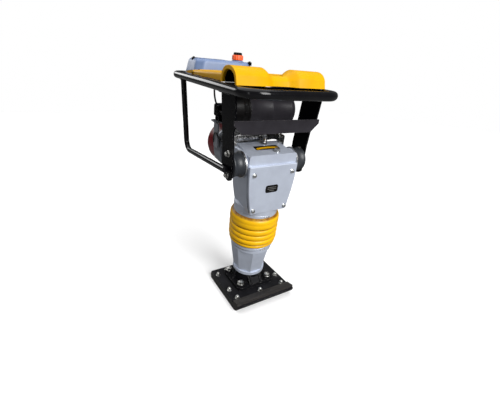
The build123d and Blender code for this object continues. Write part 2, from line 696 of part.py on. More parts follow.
# Cross plate in front of the arms
with BuildPart() as cross_plate:
    slab(facing(ARM_FRONT), [(-140, 752), (140, 752), (171, 782), (171, 796), (-171, 796),
                             (-171, 782)], 6)
finish(cross_plate, "cross_plate")

# Tubes that guard the engine, from the ring down and forward to the arms
with BuildPart() as guard_tubes:
    for tube_x in (-GUARD_X, GUARD_X):
        tube_along(Plane.XY, [(tube_x, GUARD_BACK, 905), (tube_x, GUARD_BACK, GUARD_LOW),
                              (tube_x, -118, GUARD_LOW + 6)], 46, GUARD_TUBE)
    split(bisect_by=HANDLE.offset(-RING_TUBE - 0.1), keep=Keep.BOTTOM)
finish(guard_tubes, "guard_tubes")

with BuildPart() as lift_bar:
    disc(HANDLE_SIDE.offset(-RING_X + RING_TUBE + 0.1), 9, 2 * (RING_X - RING_TUBE - 0.1),
         (HUMP_L, 0))
finish(lift_bar, "lift_bar")

with BuildPart() as rubber_mounts:
    for side_x in (-ARM_INNER, FLANGE_OUTER):
        disc(beside(side_x), 46, ARM_INNER - FLANGE_OUTER, (MOUNT_Y, MOUNT_S))
    for spot in ((-33, 674), (-33, 596)):
        for side_x in (-ARM_INNER, ARM_INNER - 16):
            disc(beside(side_x), 6.2, 16, spot, mode=Mode.SUBTRACT)
finish(rubber_mounts, "rubber_mounts")

with BuildPart() as mount_bolts:
    for spot in ((-33, 674), (-33, 596)):
        for side_x in (-ARM_INNER - ARM_THICKNESS, ARM_INNER - 14):
            disc(beside(side_x), 6, 20, spot)
        hex_head(beside(ARM_INNER + ARM_THICKNESS), spot, 18, 8)
        hex_head(beside(-ARM_INNER - ARM_THICKNESS - 8), spot, 18, 8)
finish(mount_bolts, "mount_bolts")

# Hood over the ring: two half-pipe humps with a narrower waist, and a tray behind them
HUMP_LINE = HANDLE.from_local_coords((0, HUMP_L, HUMP_CENTRE))
HUMP_AXIS = Axis(HUMP_LINE, HANDLE.x_dir)
HUMP_SECTION = Plane(origin=HUMP_LINE, x_dir=HANDLE.x_dir, z_dir=-HANDLE.y_dir)


def hump_profile(wall):
    """Half section of the humps and waist, drawn in from the outside by wall."""
    return [(-HOOD_HALF, 0), (-HOOD_HALF, HUMP_RADIUS - wall), (-60, HUMP_RADIUS - wall),
            (-30, WAIST_RADIUS - wall), (30, WAIST_RADIUS - wall), (60, HUMP_RADIUS - wall),
            (HOOD_HALF, HUMP_RADIUS - wall), (HOOD_HALF, 0)]


def deck_side(wall):
    """Side view of the deck behind the humps, drawn in from the top and back by wall."""
    return [(HUMP_L, 0), (HUMP_L, DECK_FRONT_TOP - wall), (210, DECK_FRONT_TOP - wall),
            (DECK_BACK - wall, DECK_BACK_TOP - wall), (DECK_BACK - wall, 0)]


with BuildPart() as hood:
    turned(HUMP_SECTION, HUMP_AXIS, hump_profile(0))
    slab(HANDLE_SIDE.offset(-157), deck_side(0), 314)
    slab(HANDLE_SIDE.offset(-153.5), deck_side(HOOD_WALL + 0.5), 307, Mode.SUBTRACT)
    for side_x in (-157, 152):
        slab(HANDLE_SIDE.offset(side_x), [(DECK_BACK - 10, HOOD_BOTTOM), (DECK_BACK - 10,
             DECK_BACK_TOP), (WING_TIP, HOOD_BOTTOM + 4), (WING_TIP, HOOD_BOTTOM)], 5)
    turned(HUMP_SECTION, HUMP_AXIS, hump_profile(HOOD_WALL), Mode.SUBTRACT)
    split(bisect_by=HANDLE.offset(HOOD_BOTTOM), keep=Keep.TOP)
    block(HANDLE.offset(HOOD_BOTTOM), (-26, 26), (HUMP_L - 13, HUMP_L + 13), 100, Mode.SUBTRACT)
finish(hood, "hood")

# Moulded fuel tank
with BuildPart() as fuel_tank:
    with BuildSketch(HANDLE.offset(TANK_BOTTOM)):
        with Locations((0, (TANK_FRONT + TANK_BACK) / 2)):
            Rectangle(2 * TANK_HALF, TANK_BACK - TANK_FRONT)
        chamfer(vertices(), length=28)
    with BuildSketch(HANDLE.offset(TANK_TOP)):
        with Locations((7, (TANK_FRONT + TANK_BACK) / 2)):
            Rectangle(2 * TANK_HALF - 30, TANK_BACK - TANK_FRONT - 16)
        chamfer(vertices(), length=26)
    loft()
    fillet(fuel_tank.faces().sort_by(Axis.Z)[-1].edges(), radius=7)
    disc(HANDLE.offset(TANK_TOP - 4), 24, 9, (CAP_X, CAP_L))
    disc(HANDLE.offset(TANK_TOP - 20), 20, 40, (CAP_X, CAP_L), mode=Mode.SUBTRACT)
finish(fuel_tank, "fuel_tank")

with BuildPart() as air_cleaner:
    disc(beside(CLEANER_JOINT), CLEANER_RADIUS, CLEANER_END - CLEANER_JOINT,
         (CLEANER_Y, CLEANER_S))
    fillet(air_cleaner.faces().sort_by(Axis.X)[-1].edges(), radius=8)
    disc(facing(80), 19, 10, (-35, CLEANER_S))
finish(air_cleaner, "air_cleaner")

# Deep end cap with a recessed face and a wing nut
with BuildPart() as air_cleaner_cap:
    disc(beside(CLEANER_CAP), CLEANER_RADIUS - 2, CLEANER_JOINT - CLEANER_CAP,
         (CLEANER_Y, CLEANER_S))
    disc(beside(CLEANER_CAP - 8), CLEANER_RADIUS - 10, 14, (CLEANER_Y, CLEANER_S),
         mode=Mode.SUBTRACT)
    disc(beside(CLEANER_CAP - 3), 5, 11, (CLEANER_Y, CLEANER_S))
    block(beside(CLEANER_CAP - 2), (CLEANER_Y - 14, CLEANER_Y + 14),
          (CLEANER_S - 3, CLEANER_S + 3), 6)
finish(air_cleaner_cap, "air_cleaner_cap")

# Moulded intake duct from the air cleaner round to the carburettor
with BuildPart() as intake_hose:
    tube_along(LEG, [(-35, 80.2, CLEANER_S), (-35, 118, CLEANER_S), (-76, 172, 815),
                     (-62, 214, 806), (-15, 195, 796), (-15, 195, 756.2)], [38, 34, 22, 22], 17)
finish(intake_hose, "intake_hose")

TAP_Y = 384
TAP_S = 836
with BuildPart() as fuel_tap:
    disc(level(TAP_S), 10, 12, (-40, TAP_Y))
    disc(level(TAP_S + 12), 6, 30, (-40, TAP_Y))
    split(bisect_by=HANDLE.offset(TANK_BOTTOM), keep=Keep.BOTTOM)
finish(fuel_tap, "fuel_tap")

with BuildPart() as fuel_hose:
    tube_along(LEG, [(-40, TAP_Y, TAP_S - 0.2), (-40, TAP_Y, 800), (-46, 348, 766),
                     (-40, 296, 750), (-8, 250, 734), (-8, 214.2, 734)], [34, 60, 46, 24], 4)
finish(fuel_hose, "fuel_hose")

# ---------------------------------------------------------------------------
# Controls
# ---------------------------------------------------------------------------
THROTTLE_L = 490
with BuildPart() as throttle_bracket:
    disc(HANDLE_SIDE.offset(RING_X - RING_TUBE - 8), 5, 7.8, (THROTTLE_L, 0))
    disc(HANDLE_SIDE.offset(RING_X - RING_TUBE - 12), 14, 4, (THROTTLE_L, 0))
finish(throttle_bracket, "throttle_bracket")

with BuildPart() as throttle_lever:
    disc(HANDLE_SIDE.offset(RING_X - RING_TUBE - 15.2), 10, 3, (THROTTLE_L, 0))
    block(HANDLE_SIDE.offset(RING_X - RING_TUBE - 15.2), (THROTTLE_L - 70, THROTTLE_L - 6),
          (-5, 5), 3)
finish(throttle_lever, "throttle_lever")

with BuildPart() as fuel_cap:
    disc(HANDLE.offset(TANK_TOP + 5.2), 25, 30, (CAP_X, CAP_L))
    fillet(fuel_cap.edges().sort_by(Axis.Z)[-1], radius=5)
    disc(HANDLE.offset(TANK_TOP - 6), 19.6, 12, (CAP_X, CAP_L))
finish(fuel_cap, "fuel_cap")

with BuildPart() as fuel_tap_lever:
    disc(beside(-54), 6, 3.8, (TAP_Y, TAP_S + 6))
    block(beside(-54), (TAP_Y + 3, TAP_Y + 24), (TAP_S + 3, TAP_S + 9), 3)
finish(fuel_tap_lever, "fuel_tap_lever")

CHOKE = (204, 728)
with BuildPart() as choke_lever:
    disc(beside(20.2), 8, 3, CHOKE)
    block(beside(20.2), (CHOKE[0] + 4, CHOKE[0] + 34), (CHOKE[1] - 4, CHOKE[1] + 4), 3)
finish(choke_lever, "choke_lever")

print("engine shaft at", ENGINE_S, "ratio", -GEAR_TEETH / PINION_TEETH)
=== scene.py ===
import json
import math

import bmesh
import bpy
from mathutils import Matrix, Vector


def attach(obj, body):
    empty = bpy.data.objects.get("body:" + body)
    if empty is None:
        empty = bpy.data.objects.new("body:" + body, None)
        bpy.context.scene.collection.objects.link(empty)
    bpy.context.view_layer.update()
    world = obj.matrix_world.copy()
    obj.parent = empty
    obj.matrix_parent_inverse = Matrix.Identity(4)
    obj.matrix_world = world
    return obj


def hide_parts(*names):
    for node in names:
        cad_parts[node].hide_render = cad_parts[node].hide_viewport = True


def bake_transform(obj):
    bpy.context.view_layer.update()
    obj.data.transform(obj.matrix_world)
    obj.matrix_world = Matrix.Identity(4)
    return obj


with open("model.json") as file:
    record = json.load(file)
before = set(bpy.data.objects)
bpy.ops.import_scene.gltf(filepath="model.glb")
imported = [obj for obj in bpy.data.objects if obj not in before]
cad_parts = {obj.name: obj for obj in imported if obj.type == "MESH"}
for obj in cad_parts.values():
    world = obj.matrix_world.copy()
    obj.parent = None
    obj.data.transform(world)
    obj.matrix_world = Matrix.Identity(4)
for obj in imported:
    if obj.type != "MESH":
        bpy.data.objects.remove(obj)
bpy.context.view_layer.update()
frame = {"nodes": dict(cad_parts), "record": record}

# A jumping jack rammer. Lengths are millimetres in one of three frames: the row's own frame, the
# leaning leg's frame (x, rearward, up the leg) and the handle ring's frame (x, rearward, up).
ROW = Matrix.Scale(0.001, 4)
TILT = math.radians(7.5)
RISE = math.radians(5.1)
LEG = ROW @ Matrix.Rotation(TILT, 4, "X")
HANDLE = ROW @ Matrix.Translation((0, -275.5, 857.4)) @ Matrix.Rotation(RISE, 4, "X")

PLATE_TOP = 36
EDGE_BOLTS = [(115, -130), (-115, -130), (0, -130), (123, -67), (-123, -67),
              (124, 57), (-124, 57), (68, 78), (-68, 78)]
BASE_BOLTS = [(69, -72), (-69, -72), (69, 48), (-69, 48)]
COVER_FRONT = -94
COVER_BOLTS = [(-82, 610), (82, 610), (-71, 464), (71, 464)]
CASE_TOP = 677
ENGINE_S = 605
ENGINE_BOLTS = [(x, ENGINE_S + s) for x in (-46, 46) for s in (-46, 46)]
BLOWER_REAR = 240
RECOIL_REAR = 350
GRIP = (40, ENGINE_S + 8)
GROOVES = (289, 312, 336, 362)
WALL = 3.2
ROUND = 112
MOUNT = (-34, 632)
FLANGE_OUTER = 112
STUD_CIRCLE = 40.764
ARM_INNER = 152
CLEANER = (21.5, 807)
CLEANER_JOINT = -84
CLEANER_CAP = -142
THROTTLE_L = 490
HUMP_L = 137.6
HUMP_CENTRE = 6.4
HUMP_RADIUS = 58.5
WAIST_RADIUS = 39
HOOD_HALF = 171
HOOD_BOTTOM = 14.8
DECK_HALF = 157
DECK_BACK = 510
WING_TIP = 578
TANK_HALF = 142
TANK_FRONT = 516
TANK_BACK = 680
TANK_TOP = 72
CAP = (70, 554)
RING_X = 172.2


def show(name, data):
    """New object in the scene."""
    obj = bpy.data.objects.new(name, data)
    bpy.context.scene.collection.objects.link(obj)
    return obj


# ---- Camera ----
CAMERA_AT = (-0.5756, -0.991, 0.8752)
CAMERA_TURN = (-30.7, -23.2, 2.4)
FOCAL = 20.41


def add_camera():
    """Camera at the front right of the machine, a little above it."""
    yaw, pitch, roll = (math.radians(angle) for angle in CAMERA_TURN)
    forward = Vector((-math.sin(yaw) * math.cos(pitch), math.cos(yaw) * math.cos(pitch),
                      math.sin(pitch)))
    level = Vector((math.cos(yaw), math.sin(yaw), 0))
    above = level.cross(forward)
    right = level * math.cos(roll) + above * math.sin(roll)
    up = above * math.cos(roll) - level * math.sin(roll)
    lens = bpy.data.cameras.new("camera")
    lens.lens = FOCAL
    lens.sensor_width = 36
    lens.shift_x = -0.0024
    lens.shift_y = 0.018
    camera = show("camera", lens)
    turn = Matrix((right, up, -forward)).transposed().to_4x4()
    camera.matrix_world = Matrix.Translation(CAMERA_AT) @ turn
    bpy.context.scene.camera = camera


# ---- Materials ----
def fill(node, values):
    """Sets a node's inputs by name, where _ stands for a space."""
    for name, value in values.items():
        node.inputs[name.replace("_", " ")].default_value = value
    return node


class Nodes:
    """One material's node tree, with short calls for the nodes that these materials share."""

    def __init__(self, name, **values):
        self.material = bpy.data.materials.new(name)
        self.material.use_nodes = True
        self.tree = self.material.node_tree
        self.shader = fill(self.tree.nodes["Principled BSDF"], values)
        self.place = self.node("ShaderNodeTexCoord").outputs["Object"]

    def node(self, kind, **values):
        return fill(self.tree.nodes.new(kind), values)

    def link(self, source, target):
        self.tree.links.new(source, target)

    def noise(self, scale, detail=4.0, rough=0.55, stretch=None):
        """Noise in metres of the row frame, stretched along an axis where that is given."""
        texture = self.node("ShaderNodeTexNoise", Scale=scale, Detail=detail, Roughness=rough)
        source = self.place
        if stretch:
            mapping = self.node("ShaderNodeMapping", Scale=stretch)
            self.link(source, mapping.inputs["Vector"])
            source = mapping.outputs["Vector"]
        self.link(source, texture.inputs["Vector"])
        return texture.outputs["Fac"]

    def span(self, value, low, high, to_low=0.0, to_high=1.0):
        """Value mapped from one span to another, clamped."""
        ramp = self.node("ShaderNodeMapRange", From_Min=low, From_Max=high, To_Min=to_low,
                         To_Max=to_high)
        self.link(value, ramp.inputs["Value"])
        return ramp.outputs["Result"]

    def maths(self, operation, *sockets):
        """Arithmetic on one or two sockets."""
        node = self.node("ShaderNodeMath")
        node.operation = operation
        for socket, target in zip(sockets, node.inputs):
            self.link(socket, target)
        return node.outputs[0]

    def blend(self, factor, first, second):
        """Mix of two colours, each a socket or a triple."""
        mix = self.node("ShaderNodeMix")
        mix.data_type = "RGBA"
        self.link(factor, mix.inputs[0])
        for socket, colour in ((mix.inputs[6], first), (mix.inputs[7], second)):
            if isinstance(colour, tuple):
                socket.default_value = (*colour, 1)
            else:
                self.link(colour, socket)
        return mix.outputs[2]

    def edges(self, reach):
        """1 close to sharp edges, 0 elsewhere, from how far rounding would turn the normal."""
        rounding = self.node("ShaderNodeBevel", Radius=reach)
        rounding.samples = 4
        dot = self.node("ShaderNodeVectorMath")
        dot.operation = "DOT_PRODUCT"
        self.link(rounding.outputs["Normal"], dot.inputs[0])
        self.link(self.node("ShaderNodeNewGeometry").outputs["Normal"], dot.inputs[1])
        return self.span(dot.outputs["Value"], 0.995, 0.93)

    def bump(self, height, strength, distance):
        bump = self.node("ShaderNodeBump", Strength=strength, Distance=distance)
        self.link(height, bump.inputs["Height"])
        self.link(bump.outputs["Normal"], self.shader.inputs["Normal"])

    def colour(self, socket):
        self.link(socket, self.shader.inputs["Base Color"])

    def rough(self, socket):
        self.link(socket, self.shader.inputs["Roughness"])


def surface(name, colour, shade, rough, metallic=0.0, grain=900, bump=0.15, depth=0.0003,
            wear=None, specular=0.5):
    """Material with a mottled colour, uneven gloss and a fine grain, worn at its edges."""
    nodes = Nodes(name, Metallic=metallic, Specular_IOR_Level=specular)
    paint = nodes.blend(nodes.span(nodes.noise(22, 5), 0.35, 0.68), colour, shade)
    if wear:
        chips = nodes.maths("MULTIPLY", nodes.edges(0.0016), nodes.noise(170, 5, 0.7))
        paint = nodes.blend(nodes.span(chips, 0.5, 0.66), paint, wear)
    nodes.colour(paint)
    nodes.rough(nodes.span(nodes.noise(75, 6, 0.65), 0.3, 0.7, *rough))
    nodes.bump(nodes.noise(grain, 3, 0.6), bump, depth)
    return nodes.material


def bellows_rubber():
    """Glossy yellow rubber with brown shade painted down in its grooves."""
    nodes = Nodes("bellows_yellow", Specular_IOR_Level=0.3)
    upright = nodes.node("ShaderNodeMapping", Rotation=(-TILT, 0, 0))
    nodes.link(nodes.place, upright.inputs["Vector"])
    parts = nodes.node("ShaderNodeSeparateXYZ")
    nodes.link(upright.outputs["Vector"], parts.inputs[0])
    across = nodes.maths("MULTIPLY", parts.outputs["X"], parts.outputs["X"])
    along = nodes.maths("MULTIPLY", parts.outputs["Y"], parts.outputs["Y"])
    radius = nodes.maths("SQRT", nodes.maths("ADD", across, along))
    # Painted shade: dark brown, strongest at the bottom of each groove, broken up by noise.
    groove = nodes.span(radius, 0.0958, 0.1005, 1.0, 0.0)
    groove_shade = nodes.maths("MULTIPLY", groove, nodes.span(nodes.noise(55, 5), 0.25, 0.6, 0.45, 1.0))
    unshaded = nodes.blend(nodes.span(nodes.noise(26, 4), 0.35, 0.7), (0.82, 0.46, 0.001),
                        (0.78, 0.41, 0.001))
    nodes.colour(nodes.blend(groove_shade, unshaded, (0.2, 0.075, 0.008)))
    nodes.rough(nodes.span(nodes.noise(90, 6), 0.3, 0.7, 0.28, 0.46))
    nodes.bump(nodes.noise(700, 3), 0.14, 0.0004)
    return nodes.material


def pale_floor():
    """White floor that throws only a little light back onto the machine."""
    nodes = Nodes("floor_pale", Roughness=0.9, Specular_IOR_Level=0.1)
    seen = nodes.node("ShaderNodeLightPath").outputs["Is Camera Ray"]
    nodes.colour(nodes.blend(seen, (0.17, 0.17, 0.17), (0.94, 0.94, 0.94)))
    return nodes.material


def laminated_block():
    """Dark pressed laminate whose layers show on the block's sides."""
    nodes = Nodes("block_black")
    layers = nodes.noise(14, 3, 0.6, (0.4, 0.4, 42))
    grain = nodes.noise(120, 5, 0.7, (0.15, 0.15, 1))
    board = nodes.blend(nodes.span(layers, 0.4, 0.6), (0.009, 0.008, 0.008),
                        (0.024, 0.021, 0.019))
    nodes.colour(nodes.blend(nodes.span(grain, 0.5, 0.8), board, (0.05, 0.044, 0.038)))
    nodes.rough(nodes.span(grain, 0.3, 0.7, 0.5, 0.8))
    nodes.bump(layers, 0.5, 0.0008)
    return nodes.material


def braided_rope():
    """Off-white braided cord."""
    nodes = Nodes("rope_white")
    strands = nodes.noise(900, 2, 0.4, (1, 0.25, 1))
    nodes.colour(nodes.blend(nodes.span(strands, 0.4, 0.6), (0.62, 0.6, 0.55), (0.34, 0.32, 0.28)))
    nodes.rough(nodes.span(strands, 0.3, 0.7, 0.75, 0.92))
    nodes.bump(strands, 0.6, 0.0005)
    return nodes.material


METAL = (0.33, 0.32, 0.31)
# Slot, colour, second colour, least and most roughness, and what differs from surface()
LOOKS = [
    ("steel_black", (0.006, 0.006, 0.007), (0.011, 0.011, 0.013), (0.26, 0.42),
     dict(grain=420, bump=0.2, wear=METAL, specular=0.09)),
    ("zinc", (0.62, 0.62, 0.6), (0.45, 0.45, 0.43), (0.2, 0.36),
     dict(metallic=1.0, grain=1500, bump=0.1, depth=0.0002)),
    ("base_black", (0.004, 0.004, 0.005), (0.007, 0.007, 0.008), (0.3, 0.46),
     dict(grain=520, bump=0.4, depth=0.0005, wear=METAL, specular=0.05)),
    ("casting_grey", (0.52, 0.565, 0.66), (0.47, 0.51, 0.6), (0.34, 0.48),
     dict(metallic=0.35, grain=650, bump=0.3, depth=0.0004,
          wear=(0.62, 0.64, 0.68))),
    ("machined_steel", (0.56, 0.56, 0.56), (0.42, 0.42, 0.43), (0.22, 0.38),
     dict(metallic=1.0, grain=1200, bump=0.1)),
    ("spring_steel", (0.3, 0.3, 0.31), (0.2, 0.2, 0.21), (0.28, 0.42),
     dict(metallic=1.0, grain=1200, bump=0.12)),
    ("engine_alloy", (0.52, 0.53, 0.54), (0.38, 0.38, 0.38), (0.34, 0.52),
     dict(metallic=0.85, grain=900, bump=0.5, depth=0.0005)),
    ("tube_black", (0.003, 0.003, 0.004), (0.005, 0.005, 0.006), (0.1, 0.18),
     dict(grain=260, bump=0.06, depth=0.0003, specular=0.3)),
    ("plate_black", (0.002, 0.002, 0.003), (0.004, 0.004, 0.005), (0.24, 0.36),
     dict(grain=300, bump=0.1, depth=0.0003, specular=0.04, wear=METAL)),
    ("plate_grey", (0.02, 0.018, 0.022), (0.027, 0.025, 0.03), (0.34, 0.48),
     dict(grain=300, bump=0.14, wear=METAL, specular=0.16)),
    ("rubber_black", (0.02, 0.023, 0.028), (0.032, 0.035, 0.041), (0.34, 0.5),
     dict(grain=800, bump=0.2, specular=0.5)),
    ("hood_yellow", (0.7, 0.365, 0.001), (0.65, 0.33, 0.001), (0.36, 0.5),
     dict(grain=520, bump=0.1, depth=0.0004, specular=0.1)),
    ("tank_grey", (0.155, 0.225, 0.4), (0.135, 0.195, 0.35), (0.34, 0.48),
     dict(grain=600, bump=0.2, depth=0.0004)),
    ("plastic_black", (0.004, 0.004, 0.004), (0.008, 0.007, 0.007), (0.34, 0.5),
     dict(grain=900, bump=0.25, specular=0.1)),
    ("cap_orange", (0.88, 0.13, 0.03), (0.75, 0.1, 0.02), (0.34, 0.48),
     dict(grain=800, bump=0.15)),
    ("recoil_red", (0.2, 0.002, 0.007), (0.14, 0.001, 0.005), (0.24, 0.36),
     dict(grain=260, bump=0.08, specular=0.12)),
    ("blower_grey", (0.36, 0.38, 0.42), (0.28, 0.3, 0.33), (0.32, 0.46),
     dict(metallic=0.6, grain=800, bump=0.4, depth=0.0004)),
    ("hose_black", (0.014, 0.014, 0.014), (0.024, 0.023, 0.022), (0.38, 0.55),
     dict(grain=900, bump=0.2)),
]
FINISHES = {look[0]: surface(*look[:4], **look[4]) for look in LOOKS}
FINISHES.update(block_black=laminated_block(), bellows_yellow=bellows_rubber(),
                rope_white=braided_rope())


# ---- Mesh forms ----
def aim(origin, z_axis, x_axis=(1, 0, 0)):
    """Basis at origin with its z along z_axis and its x near x_axis."""
    z = Vector(z_axis).normalized()
    x = Vector(x_axis)
    x = (x - z * x.dot(z)).normalized()
    return Matrix.Translation(origin) @ Matrix((x, z.cross(x), z)).transposed().to_4x4()


def upright(x, y, z):
    return Matrix.Translation((x, y, z))


FLAT = Matrix()


def forward(x, y, z):
    """Basis that looks to the front, its y up."""
    return aim((x, y, z), (0, -1, 0))


def backward(x, y, z):
    """Basis that looks to the rear."""
    return aim((x, y, z), (0, 1, 0))


def sideways(x, y, z, side=1):
    """Basis that looks along +x or -x."""
    return aim((x, y, z), (side, 0, 0), (0, 1, 0))


def arc(centre, radius, start, end, steps):
    """Points of an arc in a plane, in degrees."""
    angles = [math.radians(start + (end - start) * i / steps) for i in range(steps + 1)]
    return [(centre[0] + radius * math.cos(a), centre[1] + radius * math.sin(a)) for a in angles]


def rounded(outline, radius, steps=5):
    """Closed outline with each corner replaced by a small curve."""
    points = []
    count = len(outline)
    for i, corner in enumerate(outline):
        here = Vector(corner)
        before = Vector(outline[i - 1]) - here
        after = Vector(outline[(i + 1) % count]) - here
        reach = min(radius, before.length * 0.48, after.length * 0.48)
        first = here + before.normalized() * reach
        last = here + after.normalized() * reach
        for step in range(steps + 1):
            t = step / steps
            points.append(tuple(first * (1 - t) ** 2 + here * 2 * t * (1 - t) + last * t * t))
    return points


def rectangle(x_span, y_span):
    return [(x_span[0], y_span[0]), (x_span[1], y_span[0]), (x_span[1], y_span[1]),
            (x_span[0], y_span[1])]


def spline(points, steps=10):
    """Points of a smooth curve through the given ones."""
    knots = [Vector(p) for p in points]
    knots = [knots[0] * 2 - knots[1]] + knots + [knots[-1] * 2 - knots[-2]]
    path = []
    for a, b, c, d in zip(knots, knots[1:], knots[2:], knots[3:]):
        for step in range(steps):
            t = step / steps
            path.append(0.5 * (2 * b + (c - a) * t + (2 * a - 5 * b + 4 * c - d) * t * t
                               + (3 * b - a - 3 * c + d) * t ** 3))
    path.append(knots[-2])
    return path


class Form:
    """A mesh in the making, in millimetres of one frame."""

    def __init__(self, place):
        self.place = place
        self.verts = []
        self.faces = []

    def skin(self, rows, loop=False):
        """Faces over rows of points. Its ends are capped, or a loop joins the last to the first."""
        start = len(self.verts)
        count = len(rows[0])
        for row in rows:
            self.verts.extend(row)
        for r in range(len(rows) if loop else len(rows) - 1):
            low, high = start + r * count, start + ((r + 1) % len(rows)) * count
            for i in range(count):
                j = (i + 1) % count
                self.faces.append((low + i, low + j, high + j, high + i))
        if not loop:
            self.faces.append(tuple(range(start, start + count))[::-1])
            last = start + (len(rows) - 1) * count
            self.faces.append(tuple(range(last, last + count)))

    def lathe(self, basis, profile, segments=48, loop=False):
        """Turned shape from (radius, height) pairs. A loop leaves it open in the middle."""
        rows = []
        for radius, height in profile:
            ring = arc((0, 0), max(radius, 0.01), 0, 360, segments)[:-1]
            rows.append([basis @ Vector((x, y, height)) for x, y in ring])
        self.skin(rows, loop)

    def prism(self, basis, outline, low, high, chamfer=0.0):
        """Plate or bar with an outline, its two rims eased by chamfer."""
        centre = Vector((sum(p[0] for p in outline), sum(p[1] for p in outline))) / len(outline)
        size = max((Vector(p) - centre).length for p in outline)
        small = 1 - chamfer / size
        levels = [(low, small), (low + chamfer, 1), (high - chamfer, 1), (high, small)]
        if not chamfer:
            levels = [(low, 1), (high, 1)]
        rows = []
        for height, scale in levels:
            row = [centre + (Vector(p) - centre) * scale for p in outline]
            rows.append([basis @ Vector((p.x, p.y, height)) for p in row])
        self.skin(rows)

    def plate(self, basis, x_span, y_span, corner, low, high, chamfer=0.0):
        """Rectangular plate with rounded corners."""
        self.prism(basis, rounded(rectangle(x_span, y_span), corner), low, high, chamfer)

    def tube(self, path, radius, segments=14, turn=FLAT):
        """Round tube along points. The radius is a number or a function of length and share."""
        points = [turn @ Vector(p) for p in path]
        total = sum((b - a).length for a, b in zip(points, points[1:]))
        normal = Vector((0.3, 0.2, 1)).cross(points[1] - points[0]).normalized()
        travelled = 0.0
        rows = []
        for i, point in enumerate(points):
            after = points[min(i + 1, len(points) - 1)]
            before = points[max(i - 1, 0)]
            along = (after - before).normalized()
            normal = (normal - along * normal.dot(along)).normalized()
            side = along.cross(normal)
            if i:
                travelled += (point - points[i - 1]).length
            size = radius(travelled, travelled / total) if callable(radius) else radius
            ring = arc((0, 0), size, 0, 360, segments)[:-1]
            rows.append([point + normal * x + side * y for x, y in ring])
        self.skin(rows)

    def hexagon(self, basis, flats, height, washer=0.0, dome=0.0):
        """Hex head with its corners turned down, on a round washer face."""
        inner = flats / 2
        rows = [[], [], [], []]
        for step in range(48):
            angle = math.radians(step * 7.5)
            reach = inner / math.cos((angle + math.pi / 6) % (math.pi / 3) - math.pi / 6)
            drop = (reach - inner) * 0.58
            for row, (r, h) in enumerate(((reach, drop * 0.4), (reach, height - drop - 0.2),
                                          (inner * 0.97, height), (inner * 0.5, height + dome))):
                rows[row].append(basis @ Vector((r * math.cos(angle), r * math.sin(angle), h)))
        self.skin(rows)
        if washer:
            self.lathe(basis, [(washer, -1.6), (washer, -0.5), (washer - 0.7, 0.2), (0, 0.2)])

    def thread(self, basis, radius, low, high, pitch=1.5):
        """Threaded stud end."""
        turns = int((high - low) / pitch)
        profile = [(0, low), (radius * 0.86, low)]
        for turn in range(turns):
            profile += [(radius, low + (turn + 0.5) * pitch),
                        (radius * 0.86, low + (turn + 1) * pitch)]
        profile += [(radius * 0.7, high), (0, high)]
        self.lathe(basis, profile, 20)

    def coil(self, basis, radius, wire, low, high, turns, steps=18):
        """Wound spring."""
        count = int(turns * steps)
        path = []
        for i in range(count + 1):
            angle = 2 * math.pi * i / steps
            height = low + (high - low) * i / count
            path.append((radius * math.cos(angle), radius * math.sin(angle), height))
        self.tube(path, wire, 8, basis)

    def weld(self, path, radius):
        """Rippled weld bead."""
        self.tube(spline(path, 14), lambda at, share: radius * (0.82 + 0.18 * math.sin(at * 2.2)),
                  10)

    def mesh(self, name):
        """The finished mesh, with doubled points joined and its faces turned outward."""
        data = bpy.data.meshes.new(name)
        data.from_pydata([self.place @ Vector(v) for v in self.verts], [], self.faces)
        work = bmesh.new()
        work.from_mesh(data)
        bmesh.ops.remove_doubles(work, verts=work.verts, dist=0.00004)
        bmesh.ops.dissolve_degenerate(work, edges=work.edges, dist=0.00001)
        bmesh.ops.recalc_face_normals(work, faces=work.faces)
        work.to_mesh(data)
        work.free()
        data.shade_smooth()
        data.set_sharp_from_angle(angle=math.radians(32))
        return data

    def piece(self, name, body, slot, bevel=0.0, replaces=()):
        """Puts the piece in the scene, on its body, with its slot's material."""
        obj = show(name, self.mesh(name))
        obj.data.materials.append(FINISHES[slot])
        if bevel:
            soften(obj, bevel)
        if body:
            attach(obj, body)
        if replaces:
            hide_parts(*replaces)
        return obj


def cable(name, body, place, route, steps, radius, segments, replaces=(), slot="hose_black"):
    """Cord or hose along a route, as a piece of its own."""
    form = Form(place)
    form.tube(spline(route, steps), radius, segments)
    return form.piece(name, body, slot, replaces=replaces)


def soften(obj, width):
    """Rounds an object's sharp edges by a width in millimetres."""
    bevel = obj.modifiers.new("soft_edges", "BEVEL")
    bevel.width = width * 0.001
    bevel.segments = 2
    bevel.limit_method = "ANGLE"
    bevel.angle_limit = math.radians(35)
    bevel.harden_normals = True


def at(place, x, y, z):
    """Point of a frame, in metres of the row."""
    return tuple(place @ Vector((x, y, z)))


# ---- Shoe, base and leg ----
def shoe_fasteners():
    nuts = Form(ROW)
    for x, y in EDGE_BOLTS:
        nuts.lathe(upright(x, y, PLATE_TOP), [(0, 0), (10.5, 0), (10.5, 1.5), (10, 1.9), (0, 1.9)])
        nuts.hexagon(upright(x, y, PLATE_TOP + 1.9), 16, 8)
        nuts.thread(upright(x, y, PLATE_TOP), 5, 8, 14.5)
    nuts.piece("shoe_nuts", "foot", "zinc", replaces=("shoe_bolts",))
    bolts = Form(ROW)
    for x, y in BASE_BOLTS:
        bolts.lathe(upright(x, y, PLATE_TOP + 20), [(0, 0), (15, 0), (15, 2.4), (14.4, 3), (0, 3)])
        bolts.hexagon(upright(x, y, PLATE_TOP + 23), 24, 10.5, dome=0.4)
        bolts.thread(upright(x, y, PLATE_TOP + 22), 8, 10, 15)
    bolts.piece("base_nuts", "foot", "zinc", replaces=("foot_base_bolts",))
    spacers = Form(ROW)
    for x, y in EDGE_BOLTS:
        spacers.lathe(upright(x, y, PLATE_TOP), [(0, 0), (14, 0), (13, 0.9), (0, 0.9)], 36)
    spacers.piece("nut_seats", "foot", "steel_black")


